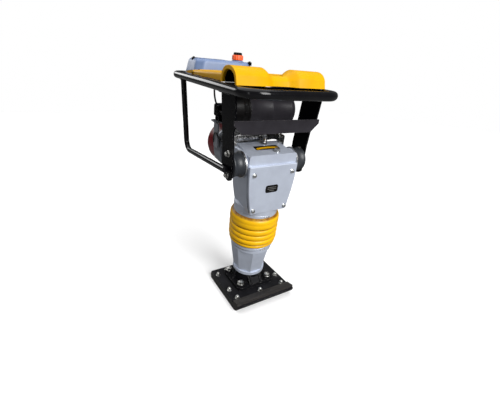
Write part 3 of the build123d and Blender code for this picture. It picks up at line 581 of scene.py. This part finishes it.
def toe_ribs():
    """Two stiffening ribs on the base's front wedge."""
    ribs = Form(ROW)
    for x in (-22, 22):
        outline = rounded([(-99, 50), (-72, 91), (-44, 91), (-44, 50)], 4)
        ribs.prism(sideways(x - 3, 0, 0), outline, 0, 6, 0.8)
    ribs.piece("toe_ribs", "foot", "base_black", bevel=1.0)


def bellows():
    """Four ribs, a wide top bulge and a plain cuff at each end, as one thick skin."""
    outer = [(92, 256), (92.4, 257), (92.4, 270.5), (93.4, 272), (96.5, 273.2), (99.6, 276),
             (100.6, 279.5), (100.2, 283), (98.4, 286.4), (95.4, 288.4), (94.6, GROOVES[0])]
    for low, high in zip(GROOVES, GROOVES[1:]):
        middle, half = (low + high) / 2, (high - low) / 2
        for step in range(15):
            share = -0.93 + 1.86 * step / 14
            swell = (1 - abs(share) ** 2.4) ** 0.5
            outer.append((95 + 9 * swell, middle + half * share))
        outer.append((94.6, high))
    outer += [(95.4, 362.8), (98.6, 364.4), (101.6, 367), (103.3, 370.6), (104, 375), (104, 381),
              (103.4, 385.4), (102.9, 387), (103, 389), (103.3, 392), (103.2, 396.5),
              (102.2, 400.6), (100.4, 404.2), (97.8, 407.4), (94.6, 410.2), (91.6, 412.2),
              (89.4, 413.8), (88.2, 415.4), (88.2, 424.4), (87.6, 425)]
    inner = [(max(r - WALL, 86.5) if s < 274 else r - WALL, s) for r, s in reversed(outer)]
    form = Form(LEG)
    form.lathe(FLAT, outer + inner, ROUND, True)
    skin = form.piece("bellows_skin", None, "bellows_yellow", replaces=("bellows",))
    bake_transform(skin)


def clamps():
    """A band and its screw at each end of the bellows."""
    for name, body, y, s, radius, node in (
            ("lower_clamp", "foot", -97.2, 257.5, 94.2, "lower_bellows_clamp"),
            ("upper_clamp", "machine", -92.6, 414.6, 90.6, "upper_bellows_clamp")):
        band = Form(LEG)
        profile = [(radius - 2, 0), (radius - 0.6, 0), (radius, 0.8), (radius, 10.7),
                   (radius - 0.6, 11.5), (radius - 2, 11.5)]
        band.lathe(upright(0, 0, s), profile, ROUND, True)
        band.piece(name + "_band", body, "casting_grey", replaces=(node,))
        s += 5.5
        screw = Form(LEG)
        screw.lathe(sideways(-11, y + 1.4, s), [(0, 0), (2.2, 0), (2.2, 20), (0, 20)], 20)
        screw.hexagon(sideways(8, y + 1.4, s), 5, 3)
        screw.piece(name + "_screw", body, "zinc")


# ---- Crankcase ----
def crankcase_details():
    bolts = Form(LEG)
    for x, s in COVER_BOLTS:
        bolts.lathe(forward(x, COVER_FRONT, s), [(0, 0), (8, 0), (8, 1), (7.4, 1.5), (0, 1.5)], 36)
        bolts.hexagon(forward(x, COVER_FRONT - 1.5, s), 11.5, 6, dome=0.4)
    for x, s in ENGINE_BOLTS:
        bolts.hexagon(forward(x, 56, s), 13, 6)
    bolts.piece("case_bolt_heads", "machine", "zinc", replaces=("case_bolts",))

    slope = aim((8, -14, CASE_TOP + 1.9), (0, -11, 80))
    plate = Form(LEG)
    plate.plate(slope, (-52, 52), (-15, 15), 4, -0.4, 0.8, 0.2)
    plate.piece("lid_plate", "machine", "plastic_black")
    strip = Form(LEG)
    crown = [(-47 + 94 * step / 12, 5 - 7 * (step / 6 - 1) ** 2) for step in range(13)]
    outline = [(x, y - 11) for x, y in crown] + [(x, y) for x, y in reversed(crown)]
    strip.prism(slope, rounded(outline, 0.8), 0.6, 1.3, 0.2)
    strip.piece("lid_strip", "machine", "hood_yellow")

    badge = Form(LEG)
    outline = rounded(rectangle((-27, 27), (-15, 15)), 9, 8)
    badge.prism(forward(0, COVER_FRONT, 548), outline, -1, 1.3, 0.4)
    badge.piece("badge_plate", "machine", "plastic_black")
    bars = Form(LEG)
    for s, half in ((554.5, 19), (548, 19), (541.5, 11)):
        bars.plate(forward(0, COVER_FRONT, s), (-half, half), (-1.2, 1.2), 1.2, 1.2, 1.9, 0.2)
    bars.piece("badge_bars", "machine", "zinc")

    seam = Form(LEG)
    rim = [(-80.6, 449), (-92.5, 500), (-98.5, 555), (-102.8, 600), (-103.6, 632)]
    for side in (-1, 1):
        path = [(side * x, -81, s) for x, s in reversed(rim)]
        seam.tube(spline(path, 8), 0.9, 8)
    seam.piece("cover_gasket", "machine", "rubber_black")


def gap_parts():
    """What shows between the crankcase lid and the cross plate."""
    route = [(-92, 50, 696), (-62, 52, 700), (-28, 52, 698), (4, 50, 702)]
    cable("breather_pipe", "machine", LEG, route, 30,
          lambda at, share: 10.8 + 1.8 * math.sin(at * 0.9), 26, slot="machined_steel")
    spring = Form(LEG)
    spring.coil(upright(14, 18, 0), 9, 2, 688, 714, 4.5)
    spring.lathe(upright(14, 18, 682), [(0, 0), (12, 0), (12, 4), (3.4, 5), (3.4, 33), (0, 33)],
                 30)
    spring.hexagon(upright(14, 18, 714), 13, 6, dome=0.4)
    spring.piece("stop_spring", "machine", "machined_steel")
    cable("breather_hose", "machine", LEG, [(22, 50, 702), (48, 52, 699), (76, 52, 701),
          (100, 50, 697)], 26, lambda at, share: 11 + 2 * math.sin(at * 0.8), 26)
    for name, x in (("pipe_clamp", 2), ("hose_clamp", 20), ("hose_end_clamp", 95)):
        ring = Form(LEG)
        place = sideways(x, 50, 702 if x < 60 else 697.6)
        ring.lathe(place, [(9, 0), (14, 0), (14, 8), (9, 8)], 44)
        ring.hexagon(place @ aim((0, 13.5, 4), (0, 1, 0)), 8, 5)
        ring.piece(name, "machine", "zinc")
    bracket = Form(LEG)
    bracket.plate(sideways(104, 0, 0), (16, 64), (668, 712), 6, 0, 3, 0.6)
    bracket.plate(FLAT, (84, 107), (17, 33), 3, 683, 686.5, 0.5)
    bracket.lathe(sideways(98, 50, 697.6), [(0, 0), (8, 0), (8, 7), (0, 7)], 30)
    bracket.hexagon(sideways(107, 28, 680), 11, 5, washer=8)
    bracket.hexagon(sideways(107, 50, 697.6), 14, 6, washer=9)
    bracket.piece("cable_bracket", "machine", "zinc")


# ---- Engine ----
def engine_details():
    cover = Form(LEG)
    cover.plate(FLAT, (-46, 26), (98, 158), 12, 759, 774, 3)
    cover.plate(FLAT, (-40, 20), (104, 152), 10, 773, 777, 1.5)
    cover.piece("rocker_cover", "machine", "engine_alloy")
    bolts = Form(LEG)
    for x in (-50, 30):
        for y in (94, 162):
            bolts.hexagon(upright(x, y, 760), 11, 7, washer=8, dome=0.3)
    bolts.hexagon(upright(-10, 128, 777), 10, 5, washer=8)
    for x, s in ((-54, 552), (54, 552), (-54, 658), (54, 658)):
        bolts.hexagon(backward(x, 200, s), 10, 6, washer=8)
    for step in range(6):
        angle = math.radians(30 + 60 * step)
        place = aim((95 * math.cos(angle), BLOWER_REAR + 9, ENGINE_S + 94.6 * math.sin(angle)),
                    (math.cos(angle), 0, math.sin(angle)), (0, 1, 0))
        bolts.hexagon(place, 8, 3.6, washer=6)
    bolts.piece("engine_bolt_heads", "machine", "zinc")

    ribs = Form(LEG)
    for step in range(5):
        s = 556 + 24 * step
        for side in (-1, 1):
            ribs.plate(sideways(side * 64, 0, 0), (84, 190), (s, s + 4), 1.5, min(0, side * 4),
                       max(0, side * 4), 0.5)
    ribs.piece("engine_ribs", "machine", "engine_alloy")

    lead = Form(LEG)
    lead.tube(spline([(70, 128, 753.5), (82, 136, 752), (86, 158, 738), (78, 184, 712),
                      (66, 206, 690)], 10), 3.4, 14)
    lead.lathe(sideways(48, 128, 753.5), [(0, 0), (9.5, 0), (10.6, 3), (10.6, 8), (9.2, 11),
                                           (9.2, 22), (5, 27), (0, 27)], 30)
    lead.piece("ignition_lead", "machine", "hose_black")

    bowl = Form(LEG)
    bowl.lathe(upright(-10, 195, 690), [(0, 0), (10, 0), (15, 3), (17, 8), (17, 17.5), (0, 17.5)],
               40)
    bowl.hexagon(aim((-10, 195, 690), (0, 0, -1)), 9, 5, washer=7)
    bowl.lathe(sideways(20, 186, 736), [(0, 0), (5, 0), (5, 4), (3, 5), (3, 11), (0, 11)], 24)
    bowl.piece("carburettor_bowl", "machine", "engine_alloy")

    guard = Form(LEG)
    guard.plate(sideways(-90.6, 0, 0), (225, 263), (736, 780), 6, 0, 1.6, 0.4)
    for step in range(4):
        y = 228.5 + 8.6 * step
        guard.plate(sideways(-92, 0, 0), (y, y + 4.6), (741, 775), 2.2, 0, 2, 0.6)
    guard.lathe(backward(-68, 265, 764), [(0, 0), (9, 0), (9, 10), (7.6, 10.4), (7.6, 2), (0, 2)],
                32)
    guard.piece("muffler_guard", "machine", "plate_black")

    rings = Form(LEG)
    for radius, y in ((58, RECOIL_REAR - 6.2), (26, RECOIL_REAR - 0.6)):
        profile = [(radius - 2.6, -1), (radius - 2.2, 1.2), (radius + 2.2, 1.2), (radius + 2.6, -1)]
        rings.lathe(backward(0, y, ENGINE_S), profile, 72, True)
    rings.piece("recoil_rings", "machine", "recoil_red")

    cable("stop_switch_lead", "machine", LEG, [(-72, 172, 640), (-86, 184, 648), (-98, 194, 662),
          (-101, 206, 676), (-101.2, 222, 672), (-101, 234, 650), (-99, 236, 630)], 12, 2.4, 12)

    switch = Form(LEG)
    switch.plate(sideways(-76, 0, 0), (150, 176), (622, 652), 5, 0, 13, 1.2)
    switch.lathe(sideways(-75, 163, 637, -1), [(0, 0), (7, 0), (7, 5), (5.6, 6.5), (0, 6.5)], 28)
    switch.piece("stop_switch", "machine", "plastic_black")


def starter():
    rope = Form(LEG)
    rope.tube([(GRIP[0], RECOIL_REAR - 24 + 1.3 * i, GRIP[1]) for i in range(21)],
              lambda at, share: 2 + 0.16 * math.sin(at * 2.4), 14)
    line = rope.piece("starter_cord", None, "rope_white", replaces=("starter_rope",))
    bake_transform(line)
    eyelet = Form(LEG)
    eyelet.lathe(backward(GRIP[0], RECOIL_REAR - 0.6, GRIP[1]),
                 [(3.4, 0), (8, 0), (8, 1.4), (5.5, 3), (3.4, 2.2)], 32)
    eyelet.piece("cord_eyelet", "machine", "zinc")


# ---- Handle ring, arms and mounts ----
def mounts():
    rubber = Form(LEG)
    for side in (-1, 1):
        profile = [(0, 0), (45, 0), (46, 1.2), (46, 4), (43.2, 8), (41.6, 14), (41, 20),
                   (41.6, 26), (43.2, 32), (46, 36), (46, 39), (45, 40), (0, 40)]
        rubber.lathe(sideways(side * FLANGE_OUTER, *MOUNT, side), profile, 72)
    rubber.piece("mount_rubbers", "handle", "rubber_black", replaces=("rubber_mounts",))
    heads = Form(LEG)
    for s in (674, 596):
        for side in (-1, 1):
            place = sideways(side * (ARM_INNER + 6), -33, s, side)
            heads.lathe(place, [(0, 0), (12, 0), (12, 1.6), (11.2, 2.4), (0, 2.4)], 40)
            heads.hexagon(place @ upright(0, 0, 2.4), 16, 8, dome=0.4)
            heads.thread(place @ upright(0, 0, -14), 6, 0, 27.5, 1.75)
    heads.piece("mount_bolt_heads", "handle", "zinc", replaces=("mount_bolts",))
    studs = Form(LEG)
    for side in (-1, 1):
        for y, s in arc(MOUNT, STUD_CIRCLE, 45, 405, 4)[:-1]:
            studs.lathe(sideways(side * FLANGE_OUTER, y, s, side),
                        [(0, 0), (4.4, 0), (4.4, 0.4), (0, 0.4)], 20)
    studs.piece("flange_studs", "machine", "zinc")


def frame_welds():
    """Beads where the arms, the guard tubes and the lifting bar meet the ring."""
    beads = Form(HANDLE)
    for side in (-1, 1):
        for x in (side * 166.5, side * 174.5):
            beads.weld([(x, 108, -14.2), (x, 150, -14.4), (x, 196, -14.2)], 2.2)
        bar = arc((HUMP_L, 0), 9.6, 0, 360, 12)
        beads.weld([(side * 158.6, l, n) for l, n in bar], 1.8)
        collar = arc((side * 170, 575), 12, 0, 360, 12)
        beads.weld([(x, l, -13.6) for x, l in collar], 2)
    beads.piece("ring_welds", "handle", "tube_black")

    joints = Form(LEG)
    for side in (-1, 1):
        joints.weld([(side * 164, -80, 780), (side * 164.6, -80.4, 787), (side * 165.4, -80, 795)],
                    1.6)
    joints.piece("cross_welds", "handle", "plate_black")


# ---- Hood ----
FULLNESS = 2.35     # 2 is a round section, more is squarer
SHEET = 3.2


def hump_radius(x):
    """Outer radius of the hump line at x."""
    share = min(max((abs(x) - 30) / 30, 0), 1)
    return WAIST_RADIUS + (HUMP_RADIUS - WAIST_RADIUS) * share


def hump_reach(radius, height):
    """Half width of a hump's section at a height above its axis."""
    share = min(abs(height) / radius, 1)
    return radius * (1 - share ** FULLNESS) ** (1 / FULLNESS)


def hump_arc(radius, steps=44):
    """Section of a hump from its front bottom edge over the top to the back. Its front is flat
    up to a crease."""
    low = HOOD_BOTTOM - HUMP_CENTRE
    crease = math.radians(34)
    foot = math.degrees(math.atan2(low, hump_reach(radius, low)))

    def point(angle):
        c, s = math.cos(angle), math.sin(angle)
        reach = radius / (abs(c) ** FULLNESS + abs(s) ** FULLNESS) ** (1 / FULLNESS)
        return reach * c, max(reach * s, low)

    bottom, fold = Vector((-hump_reach(radius, low), low)), Vector(point(math.pi - crease))
    points = [tuple(bottom.lerp(fold, share)) for share in (0, 0.05, 0.35, 0.65, 0.95, 1)]
    sweep = math.pi - crease - math.radians(foot)
    for step in range(steps):
        share = 0.012 if step == 0 else (step + 1) / steps
        points.append(point(math.pi - crease - sweep * share))
    return [(HUMP_L + l, HUMP_CENTRE + n) for l, n in points]


def humps():
    form = Form(HANDLE)
    stations = [(HOOD_HALF, 57.3, 48.4), (HOOD_HALF - 0.9, HUMP_RADIUS, 47),
                (161, HUMP_RADIUS, 47),
                (159.5, HUMP_RADIUS, 48.5), (159, HUMP_RADIUS, 55.3), (110, HUMP_RADIUS, 55.3),
                (62, HUMP_RADIUS, 55.3), (59, HUMP_RADIUS - 1.2, 54.1)]
    stations += [(x, hump_radius(x), hump_radius(x) - SHEET) for x in (52, 45, 38)]
    stations += [(31, WAIST_RADIUS + 0.8, WAIST_RADIUS - 2.4),
                 (28, WAIST_RADIUS, WAIST_RADIUS - SHEET)]
    both = [(-x, r, i) for x, r, i in stations] + [(0, WAIST_RADIUS, WAIST_RADIUS - SHEET)]
    both += [(x, r, i) for x, r, i in reversed(stations)]
    rows = []
    for x, outer, inner in both:
        section = hump_arc(outer) + hump_arc(inner)[::-1]
        rows.append([Vector((x, l, n)) for l, n in section])
    form.skin(rows)
    return form.mesh("hood_humps")


def deck_top(x, l):
    """Height of the deck's skin, with two long raised panels."""
    fall = max(l - 210, 0) / (DECK_BACK - 210)
    panel = min(max((62 - abs(abs(x) - 78)) / 6, 0), 1) * min(max((l - 206) / 8, 0), 1)
    return 44 - 14 * fall + 2.2 * panel * min(max((DECK_BACK - 22 - l) / 8, 0), 1)


def deck():
    form = Form(HANDLE)
    edge = 12
    across = [-DECK_HALF + edge + (2 * DECK_HALF - 2 * edge) * i / 64 for i in range(65)]
    lengths = [None, 200, 207, 211, 215, 260, 320, 380, 440, 478, 482, 486, 490, 498, 505, 508.5,
               DECK_BACK]

    def section(l, wall):
        """Points (x, n) from the left foot over the top to the right foot."""
        half = DECK_HALF - wall
        drop = 0.0 if l < 498 else edge * (1 - math.sqrt(max(1 - ((l - 498) / edge) ** 2, 0)))
        points = [(-half, HOOD_BOTTOM), (-half, 22)]
        top = deck_top(DECK_HALF, l) - wall - drop
        points += arc((-half + edge, top - edge), edge, 180, 90, 8)
        points += [(x, deck_top(x, l) - wall - drop) for x in across[1:-1]]
        points += arc((half - edge, top - edge), edge, 90, 0, 8)
        points += [(half, 22), (half, HOOD_BOTTOM)]
        return points

    rows = []
    for l in lengths:
        section_l = 200 if l is None else l
        row = []
        for wall, step in ((0, 1), (3, -1)):
            for x, n in section(section_l, wall)[::step]:
                back = HUMP_L + max(14.6 if abs(x) < 34 else 0,
                                    hump_reach(hump_radius(x) - 1.6, n - HUMP_CENTRE))
                start = min(back, 199)
                row.append(Vector((x, start if l is None else l - (wall if l > 505 else 0), n)))
        rows.append(row)
    form.skin(rows)
    for side in (-1, 1):
        outline = rounded([(488, HOOD_BOTTOM), (488, 29.5), (516, 28), (WING_TIP - 8, 21.5),
                           (WING_TIP, HOOD_BOTTOM + 3), (WING_TIP, HOOD_BOTTOM)], 5)
        low = 152 if side > 0 else -157
        form.prism(sideways(low, 0, 0), outline, 0, 5, 1)
    return form.mesh("hood_deck")


def hood():
    """Humps with the lifting slot cut through the waist, and the deck joined on."""
    shell = show("hood_shell", humps())
    cutter_form = Form(HANDLE)
    cutter_form.plate(upright(0, HUMP_L, 0), (-26, 26), (-13, 13), 8, 28, 90)
    cutter = show("slot_cutter", cutter_form.mesh("slot_cutter"))
    cut = shell.modifiers.new("slot", "BOOLEAN")
    cut.object = cutter
    cut.solver = "EXACT"
    bpy.context.view_layer.update()
    depsgraph = bpy.context.evaluated_depsgraph_get()
    carved = bpy.data.meshes.new_from_object(shell.evaluated_get(depsgraph))
    shell.modifiers.clear()
    bpy.data.objects.remove(cutter)
    work = bmesh.new()
    work.from_mesh(carved)
    work.from_mesh(deck())
    work.to_mesh(carved)
    work.free()
    carved.shade_smooth()
    carved.set_sharp_from_angle(angle=math.radians(28))
    shell.data = carved
    carved.materials.clear()
    carved.materials.append(FINISHES["hood_yellow"])
    soften(shell, 1.0)
    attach(shell, "handle")
    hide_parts("hood")

    rivets = Form(HANDLE)
    for side in (-1, 1):
        for l in (246, 470):
            rivets.lathe(upright(side * 140, l, deck_top(140, l) - 0.4),
                         [(0, 0), (5, 0), (4.6, 1.2), (2.6, 2), (0, 2.2)], 28)
    rivets.piece("hood_rivets", "handle", "plastic_black")

    # Painted shade: black sheets inside each hump and across its open bottom, so the hood's inside
    # looks dark.
    shade_sheet = Form(HANDLE)
    for side in (-1, 1):
        rows = []
        for x in (64, 66, 110, 158, 160):
            section = hump_arc(46.6) + hump_arc(44.6)[::-1]
            rows.append([Vector((side * x, l, n)) for l, n in section])
        shade_sheet.skin(rows)
        shade_sheet.plate(FLAT, (side * 112 - 50, side * 112 + 50), (92, 183), 4, 10.5, 14.2, 0.5)
    shade_sheet.piece("hump_shade_sheets", "handle", "plastic_black")

    brackets = Form(HANDLE)
    for side in (-1, 1):
        for l in (240, 440):
            brackets.plate(FLAT, (side * 158 - 6, side * 158 + 6), (l - 14, l + 14), 3, 11.5, 15.2,
                           0.6)
    brackets.piece("hood_brackets", "handle", "plate_black")


# ---- Fuel tank ----
def tank_outline(n, inset, chamfer):
    """Section of the tank at height n. Its left end leans in towards the top."""
    lean = 14 * (n + 4) / 76
    left, right = inset - TANK_HALF + lean, TANK_HALF - inset
    low, high = TANK_FRONT + inset, TANK_BACK - inset
    corners = [(left + chamfer, low), (right - chamfer, low), (right, low + chamfer),
               (right, high - chamfer), (right - chamfer, high), (left + chamfer, high),
               (left, high - chamfer), (left, low + chamfer)]
    return rounded(corners, 9, 5)


def tank():
    form = Form(HANDLE)
    levels = [(-4, 9), (-3.2, 5), (0, 2.2), (6, 0.9), (30, 2.6), (56, 5), (62, 6), (66, 8),
              (69, 10.8), (71, 14), (71.8, 18), (72, 24)]
    rows = []
    for n, inset in levels:
        rows.append([Vector((x, l, n)) for x, l in tank_outline(n, inset, 28)])
    form.skin(rows)
    for x in (-96, -48, 0):
        form.plate(upright(x, 0, 0), (-9, 9), (548, 650), 8, 71.2, 74, 1.2)
    form.lathe(upright(*CAP, TANK_TOP - 2), [(20.4, 0), (24, 0), (24, 5), (23, 6), (20.4, 6)], 56)
    form.lathe(upright(*CAP, TANK_TOP - 3), [(0, 0), (29, 0), (29, 3.4), (27.6, 4.4), (0, 4.4)],
               56)
    form.piece("tank_body", "handle", "tank_grey", replaces=("fuel_tank",))

    lugs = Form(HANDLE)
    for x, l in ((-116, 598), (121, 534)):
        lugs.plate(upright(x, l, 0), (-7, 7), (-9, 9), 3, 60, 73.5, 1)
        lugs.lathe(upright(x, l, 73), [(0, 0), (4.5, 0), (4.5, 3), (3.5, 4), (0, 4)], 24)
    lugs.piece("tank_lugs", "handle", "plate_black")
    straps = Form(HANDLE)
    for side in (-1, 1):
        for l in (560, 640):
            straps.plate(FLAT, (side * 151 - 12, side * 151 + 12), (l - 13, l + 13), 4, -3, 1.2,
                         0.6)
            straps.hexagon(upright(side * 148, l, 1.2), 11, 5.5, washer=8)
    straps.piece("tank_straps", "handle", "plate_black")


def lobed(levels, depth, lobes):
    """Rows round the cap's axis whose edge has notches, except where the radius is small."""
    rows = []
    for n, size in levels:
        row = []
        for step in range(96):
            angle = 2 * math.pi * step / 96
            notch = depth if size > 10 else 0
            r = size - notch * max(0.0, math.cos(angle * lobes)) ** 3
            row.append(Vector((CAP[0] + r * math.cos(angle), CAP[1] + r * math.sin(angle), n)))
        rows.append(row)
    return rows


def fuel_cap():
    skirt = Form(HANDLE)
    skirt.skin(lobed(((77.4, 24), (78.2, 25), (94, 24.6), (96.5, 23.4), (97, 21)), 2.4, 12))
    skirt.lathe(upright(*CAP, 66.5), [(0, 0), (19, 0), (19.4, 11.4), (0, 11.4)], 48)
    skirt.piece("cap_skirt", "cap", "cap_orange", replaces=("fuel_cap",))
    knob = Form(HANDLE)
    knob.skin(lobed(((96.8, 18), (97.6, 19), (104.4, 18.4), (106.4, 17), (107.1, 14), (107.1, 6)),
                    2.6, 8))
    knob.piece("cap_knob", "cap", "plastic_black")


# ---- Air cleaner, hoses and fuel tap ----
def air_cleaner():
    body = Form(LEG)
    place = sideways(CLEANER_JOINT, *CLEANER)
    profile = [(0, 0), (52, 0), (54.4, 1), (54.4, 8), (53.6, 9.5), (53.6, 86), (54.1, 87.5),
               (54.1, 90.5), (53.6, 92), (53.6, 162), (54.6, 164), (55, 168), (55, 174),
               (54.2, 179), (51.4, 183.4), (47, 186.4), (40, 187.6), (30, 188), (0, 188)]
    body.lathe(place, profile, 96)
    body.lathe(backward(-35, 62, CLEANER[1]), [(0, 0), (20, 0), (20, 14), (18.4, 16), (18.4, 18),
                                               (19, 18), (19, 28), (0, 28)], 48)
    body.piece("air_cleaner_body", "handle", "plate_grey", replaces=("air_cleaner",))

    cap = Form(LEG)
    face = sideways(CLEANER_JOINT, *CLEANER, -1)
    cap.lathe(face, [(0, 0), (54.6, 0), (54.6, 6), (53, 8), (53, 22), (53.6, 23.5), (53.6, 28),
                     (53, 29.5), (52.6, 48), (51.6, 54), (49, 57), (46, 58), (43.6, 57),
                     (42.6, 52.5), (27, 52.5), (24, 54.5), (11, 54.5), (9, 52.5), (0, 52.5)], 96)
    for step in range(12):
        turn = Matrix.Rotation(math.radians(30 * step), 4, "Z")
        cap.plate(face @ turn, (26, 43), (-1.4, 1.4), 1, 52, 55.6, 0.5)
        cap.plate(face @ turn, (51, 55), (-4, 4), 1.5, 9, 21, 0.8)
    cap.piece("air_cleaner_lid", "handle", "plastic_black", replaces=("air_cleaner_cap",))
    nut = Form(LEG)
    centre = sideways(CLEANER_CAP + 4, *CLEANER, -1)
    nut.lathe(centre, [(0, 0), (6, 0), (5, 5), (0, 5.2)], 28)
    for side in (-1, 1):
        outline = rounded([(3 * side, -1.5), (13 * side, -3), (15 * side, 3), (6 * side, 3)], 2)
        nut.prism(centre @ aim((0, 1, 2), (0, 1, 0)), outline, -1.2, 1.2, 0.4)
    nut.piece("air_cleaner_nut", "handle", "zinc")
    clips = Form(LEG)
    for angle in (70, 290):
        a = math.radians(angle)
        y, s = CLEANER[0] + 54 * math.cos(a), CLEANER[1] + 54 * math.sin(a)
        place = aim((CLEANER_JOINT, y, s), (0, math.cos(a), math.sin(a)))
        clips.plate(place, (-10, 12), (-5, 5), 2, 0, 2.2, 0.5)
    clips.piece("air_cleaner_clips", "handle", "machined_steel")


INTAKE_ROUTE = [(-35, 86, 807), (-36, 104, 807.5), (-48, 132, 811), (-65, 158, 814.5),
                (-72, 184, 813), (-64, 204, 808), (-46, 208, 803), (-27, 201, 796),
                (-17, 196, 784), (-15, 195, 771), (-15, 195, 756)]
FUEL_ROUTE = [(-40, 384, 836), (-40, 384, 818), (-40.5, 380, 800), (-42, 368, 782),
              (-44, 350, 768), (-43, 324, 758), (-38, 298, 750), (-26, 274, 742),
              (-13, 250, 735), (-8, 230, 734), (-8, 214, 734)]


def hoses():
    def ribbed(at, share):
        ribs = 0.9 * math.sin(at * 0.72) if 0.14 < share < 0.86 else 0
        return 16.4 + ribs

    duct = cable("intake_duct", None, LEG, INTAKE_ROUTE, 14, ribbed, 30, replaces=("intake_hose",))
    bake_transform(duct)
    line = cable("fuel_line", None, LEG, FUEL_ROUTE, 8, 3.9, 16, replaces=("fuel_hose",))
    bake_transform(line)
    bands = (("duct_band_low", "machine", upright(-15, 195, 760), 18),
             ("duct_band_high", "handle", backward(-35, 88, 807), 18.4),
             ("fuel_band_low", "machine", backward(-8, 217, 734), 4.9),
             ("fuel_band_high", "handle", upright(-40, 384, 827), 4.9))
    for name, body, place, radius in bands:
        band = Form(LEG)
        width = 7 if radius > 10 else 4
        profile = [(radius - 1.4, 0), (radius, 0), (radius, width), (radius - 1.4, width)]
        band.lathe(place, profile, 40, True)
        band.plate(place, (radius - 0.6, radius + 3.4), (-4, 4), 1, 0.6, width - 0.6, 0.3)
        band.piece(name, body, "zinc")


def controls():
    """The throttle lever's cable, from its pivot to the carburettor, and its clip."""
    route = [(144, THROTTLE_L, 0), (136, 489, -1), (128, 476, -12), (122, 440, -36),
             (108, 396, -58), (84, 370, -84), (56, 357, -114), (40, 353.4, -131),
             (30, 353.2, -135.4)]
    line = cable("throttle_cable", None, HANDLE, route, 12, 2.8, 12)
    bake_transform(line)
    clip = Form(HANDLE)
    clip.lathe(backward(RING_X - 0.5, THROTTLE_L, 0),
               [(14.5, -7), (14.9, -7), (14.9, 7), (14.5, 7)], 40, True)
    clip.piece("throttle_clamp", "handle", "plate_black")


# ---- CAD pieces that keep their own shape ----
SOFT_EDGES = {"sole_plate": 1.2, "shoe_block": 1.5, "shoe_plate": 1.5, "foot_base": 2.5,
              "ram_foot": 2.0, "crankcase": 2.0, "crankcase_cover": 0.8, "side_arms": 1.0,
              "cross_plate": 1.0, "engine_block": 1.5, "engine_cylinder": 0.6,
              "carburettor": 1.5, "muffler": 1.0, "blower_housing": 1.2, "recoil_cover": 1.0,
              "mount_flanges": 0.8, "oil_filler_plug": 0.8, "starter_grip": 0.4,
              "fuel_tap": 0.5, "fuel_tap_lever": 0.5, "choke_lever": 0.5, "throttle_lever": 0.5,
              "throttle_bracket": 0.6}


def dress_nodes():
    """The record's slot gives each CAD node its material, and visible edges are softened."""
    for part in frame["record"]["subparts"]:
        node = frame["nodes"][part["node"]]
        finish = FINISHES[part["material_slot"]]
        if node.material_slots:
            for holder in node.material_slots:
                holder.material = finish
        else:
            node.data.materials.append(finish)
        if part["node"] in SOFT_EDGES:
            soften(node, SOFT_EDGES[part["node"]])


# ---- Studio ----
def add_lamp(name, place, strength, size=None, width=0):
    """Lamp that looks at the machine: a rectangle of a size in metres, or a sun width degrees
    wide."""
    lamp = bpy.data.lights.new(name, "AREA" if size else "SUN")
    lamp.energy = strength
    if size:
        lamp.shape = "RECTANGLE"
        lamp.size, lamp.size_y = size
    else:
        lamp.angle = math.radians(width)
    obj = show(name, lamp)
    towards = (Vector((0, 0, 0.5)) - Vector(place)).to_track_quat("-Z", "Y")
    obj.matrix_world = Matrix.Translation(place) @ towards.to_matrix().to_4x4()


def studio():
    ground = Form(ROW)
    ground.verts = [(x, y, 0) for x, y in rectangle((-9000, 9000), (-9000, 9000))]
    ground.faces = [(0, 1, 2, 3)]
    floor = show("floor", ground.mesh("floor"))
    floor.data.materials.append(pale_floor())
    add_lamp("sun_front", (0.4, -2.3, 2.0), 2.9, width=38)
    add_lamp("sun_above", (-0.2, 0.5, 3.0), 1.9, width=80)
    add_lamp("key", (0.3, -2.3, 1.6), 28, size=(1.4, 0.9))
    add_lamp("fill", (-2.4, -1.2, 1.2), 3, size=(0.3, 1.6))
    add_lamp("rim", (-1.0, 2.4, 1.8), 14, size=(1.4, 0.8))
    world = bpy.data.worlds.new("pale_room")
    world.use_nodes = True
    tree = world.node_tree
    background = tree.nodes["Background"]
    background.inputs["Color"].default_value = (1, 1, 1, 1)
    rays = tree.nodes.new("ShaderNodeLightPath")
    strength = tree.nodes.new("ShaderNodeMapRange")
    strength.inputs["To Min"].default_value = 0.11
    strength.inputs["To Max"].default_value = 1.0
    tree.links.new(rays.outputs["Is Camera Ray"], strength.inputs["Value"])
    tree.links.new(strength.outputs["Result"], background.inputs["Strength"])
    bpy.context.scene.world = world
    bpy.context.scene.view_settings.view_transform = "Standard"


add_camera()
dress_nodes()
shoe_fasteners()
toe_ribs()
bellows()
clamps()
crankcase_details()
gap_parts()
engine_details()
starter()
mounts()
frame_welds()
hood()
tank()
fuel_cap()
air_cleaner()
hoses()
controls()
studio()
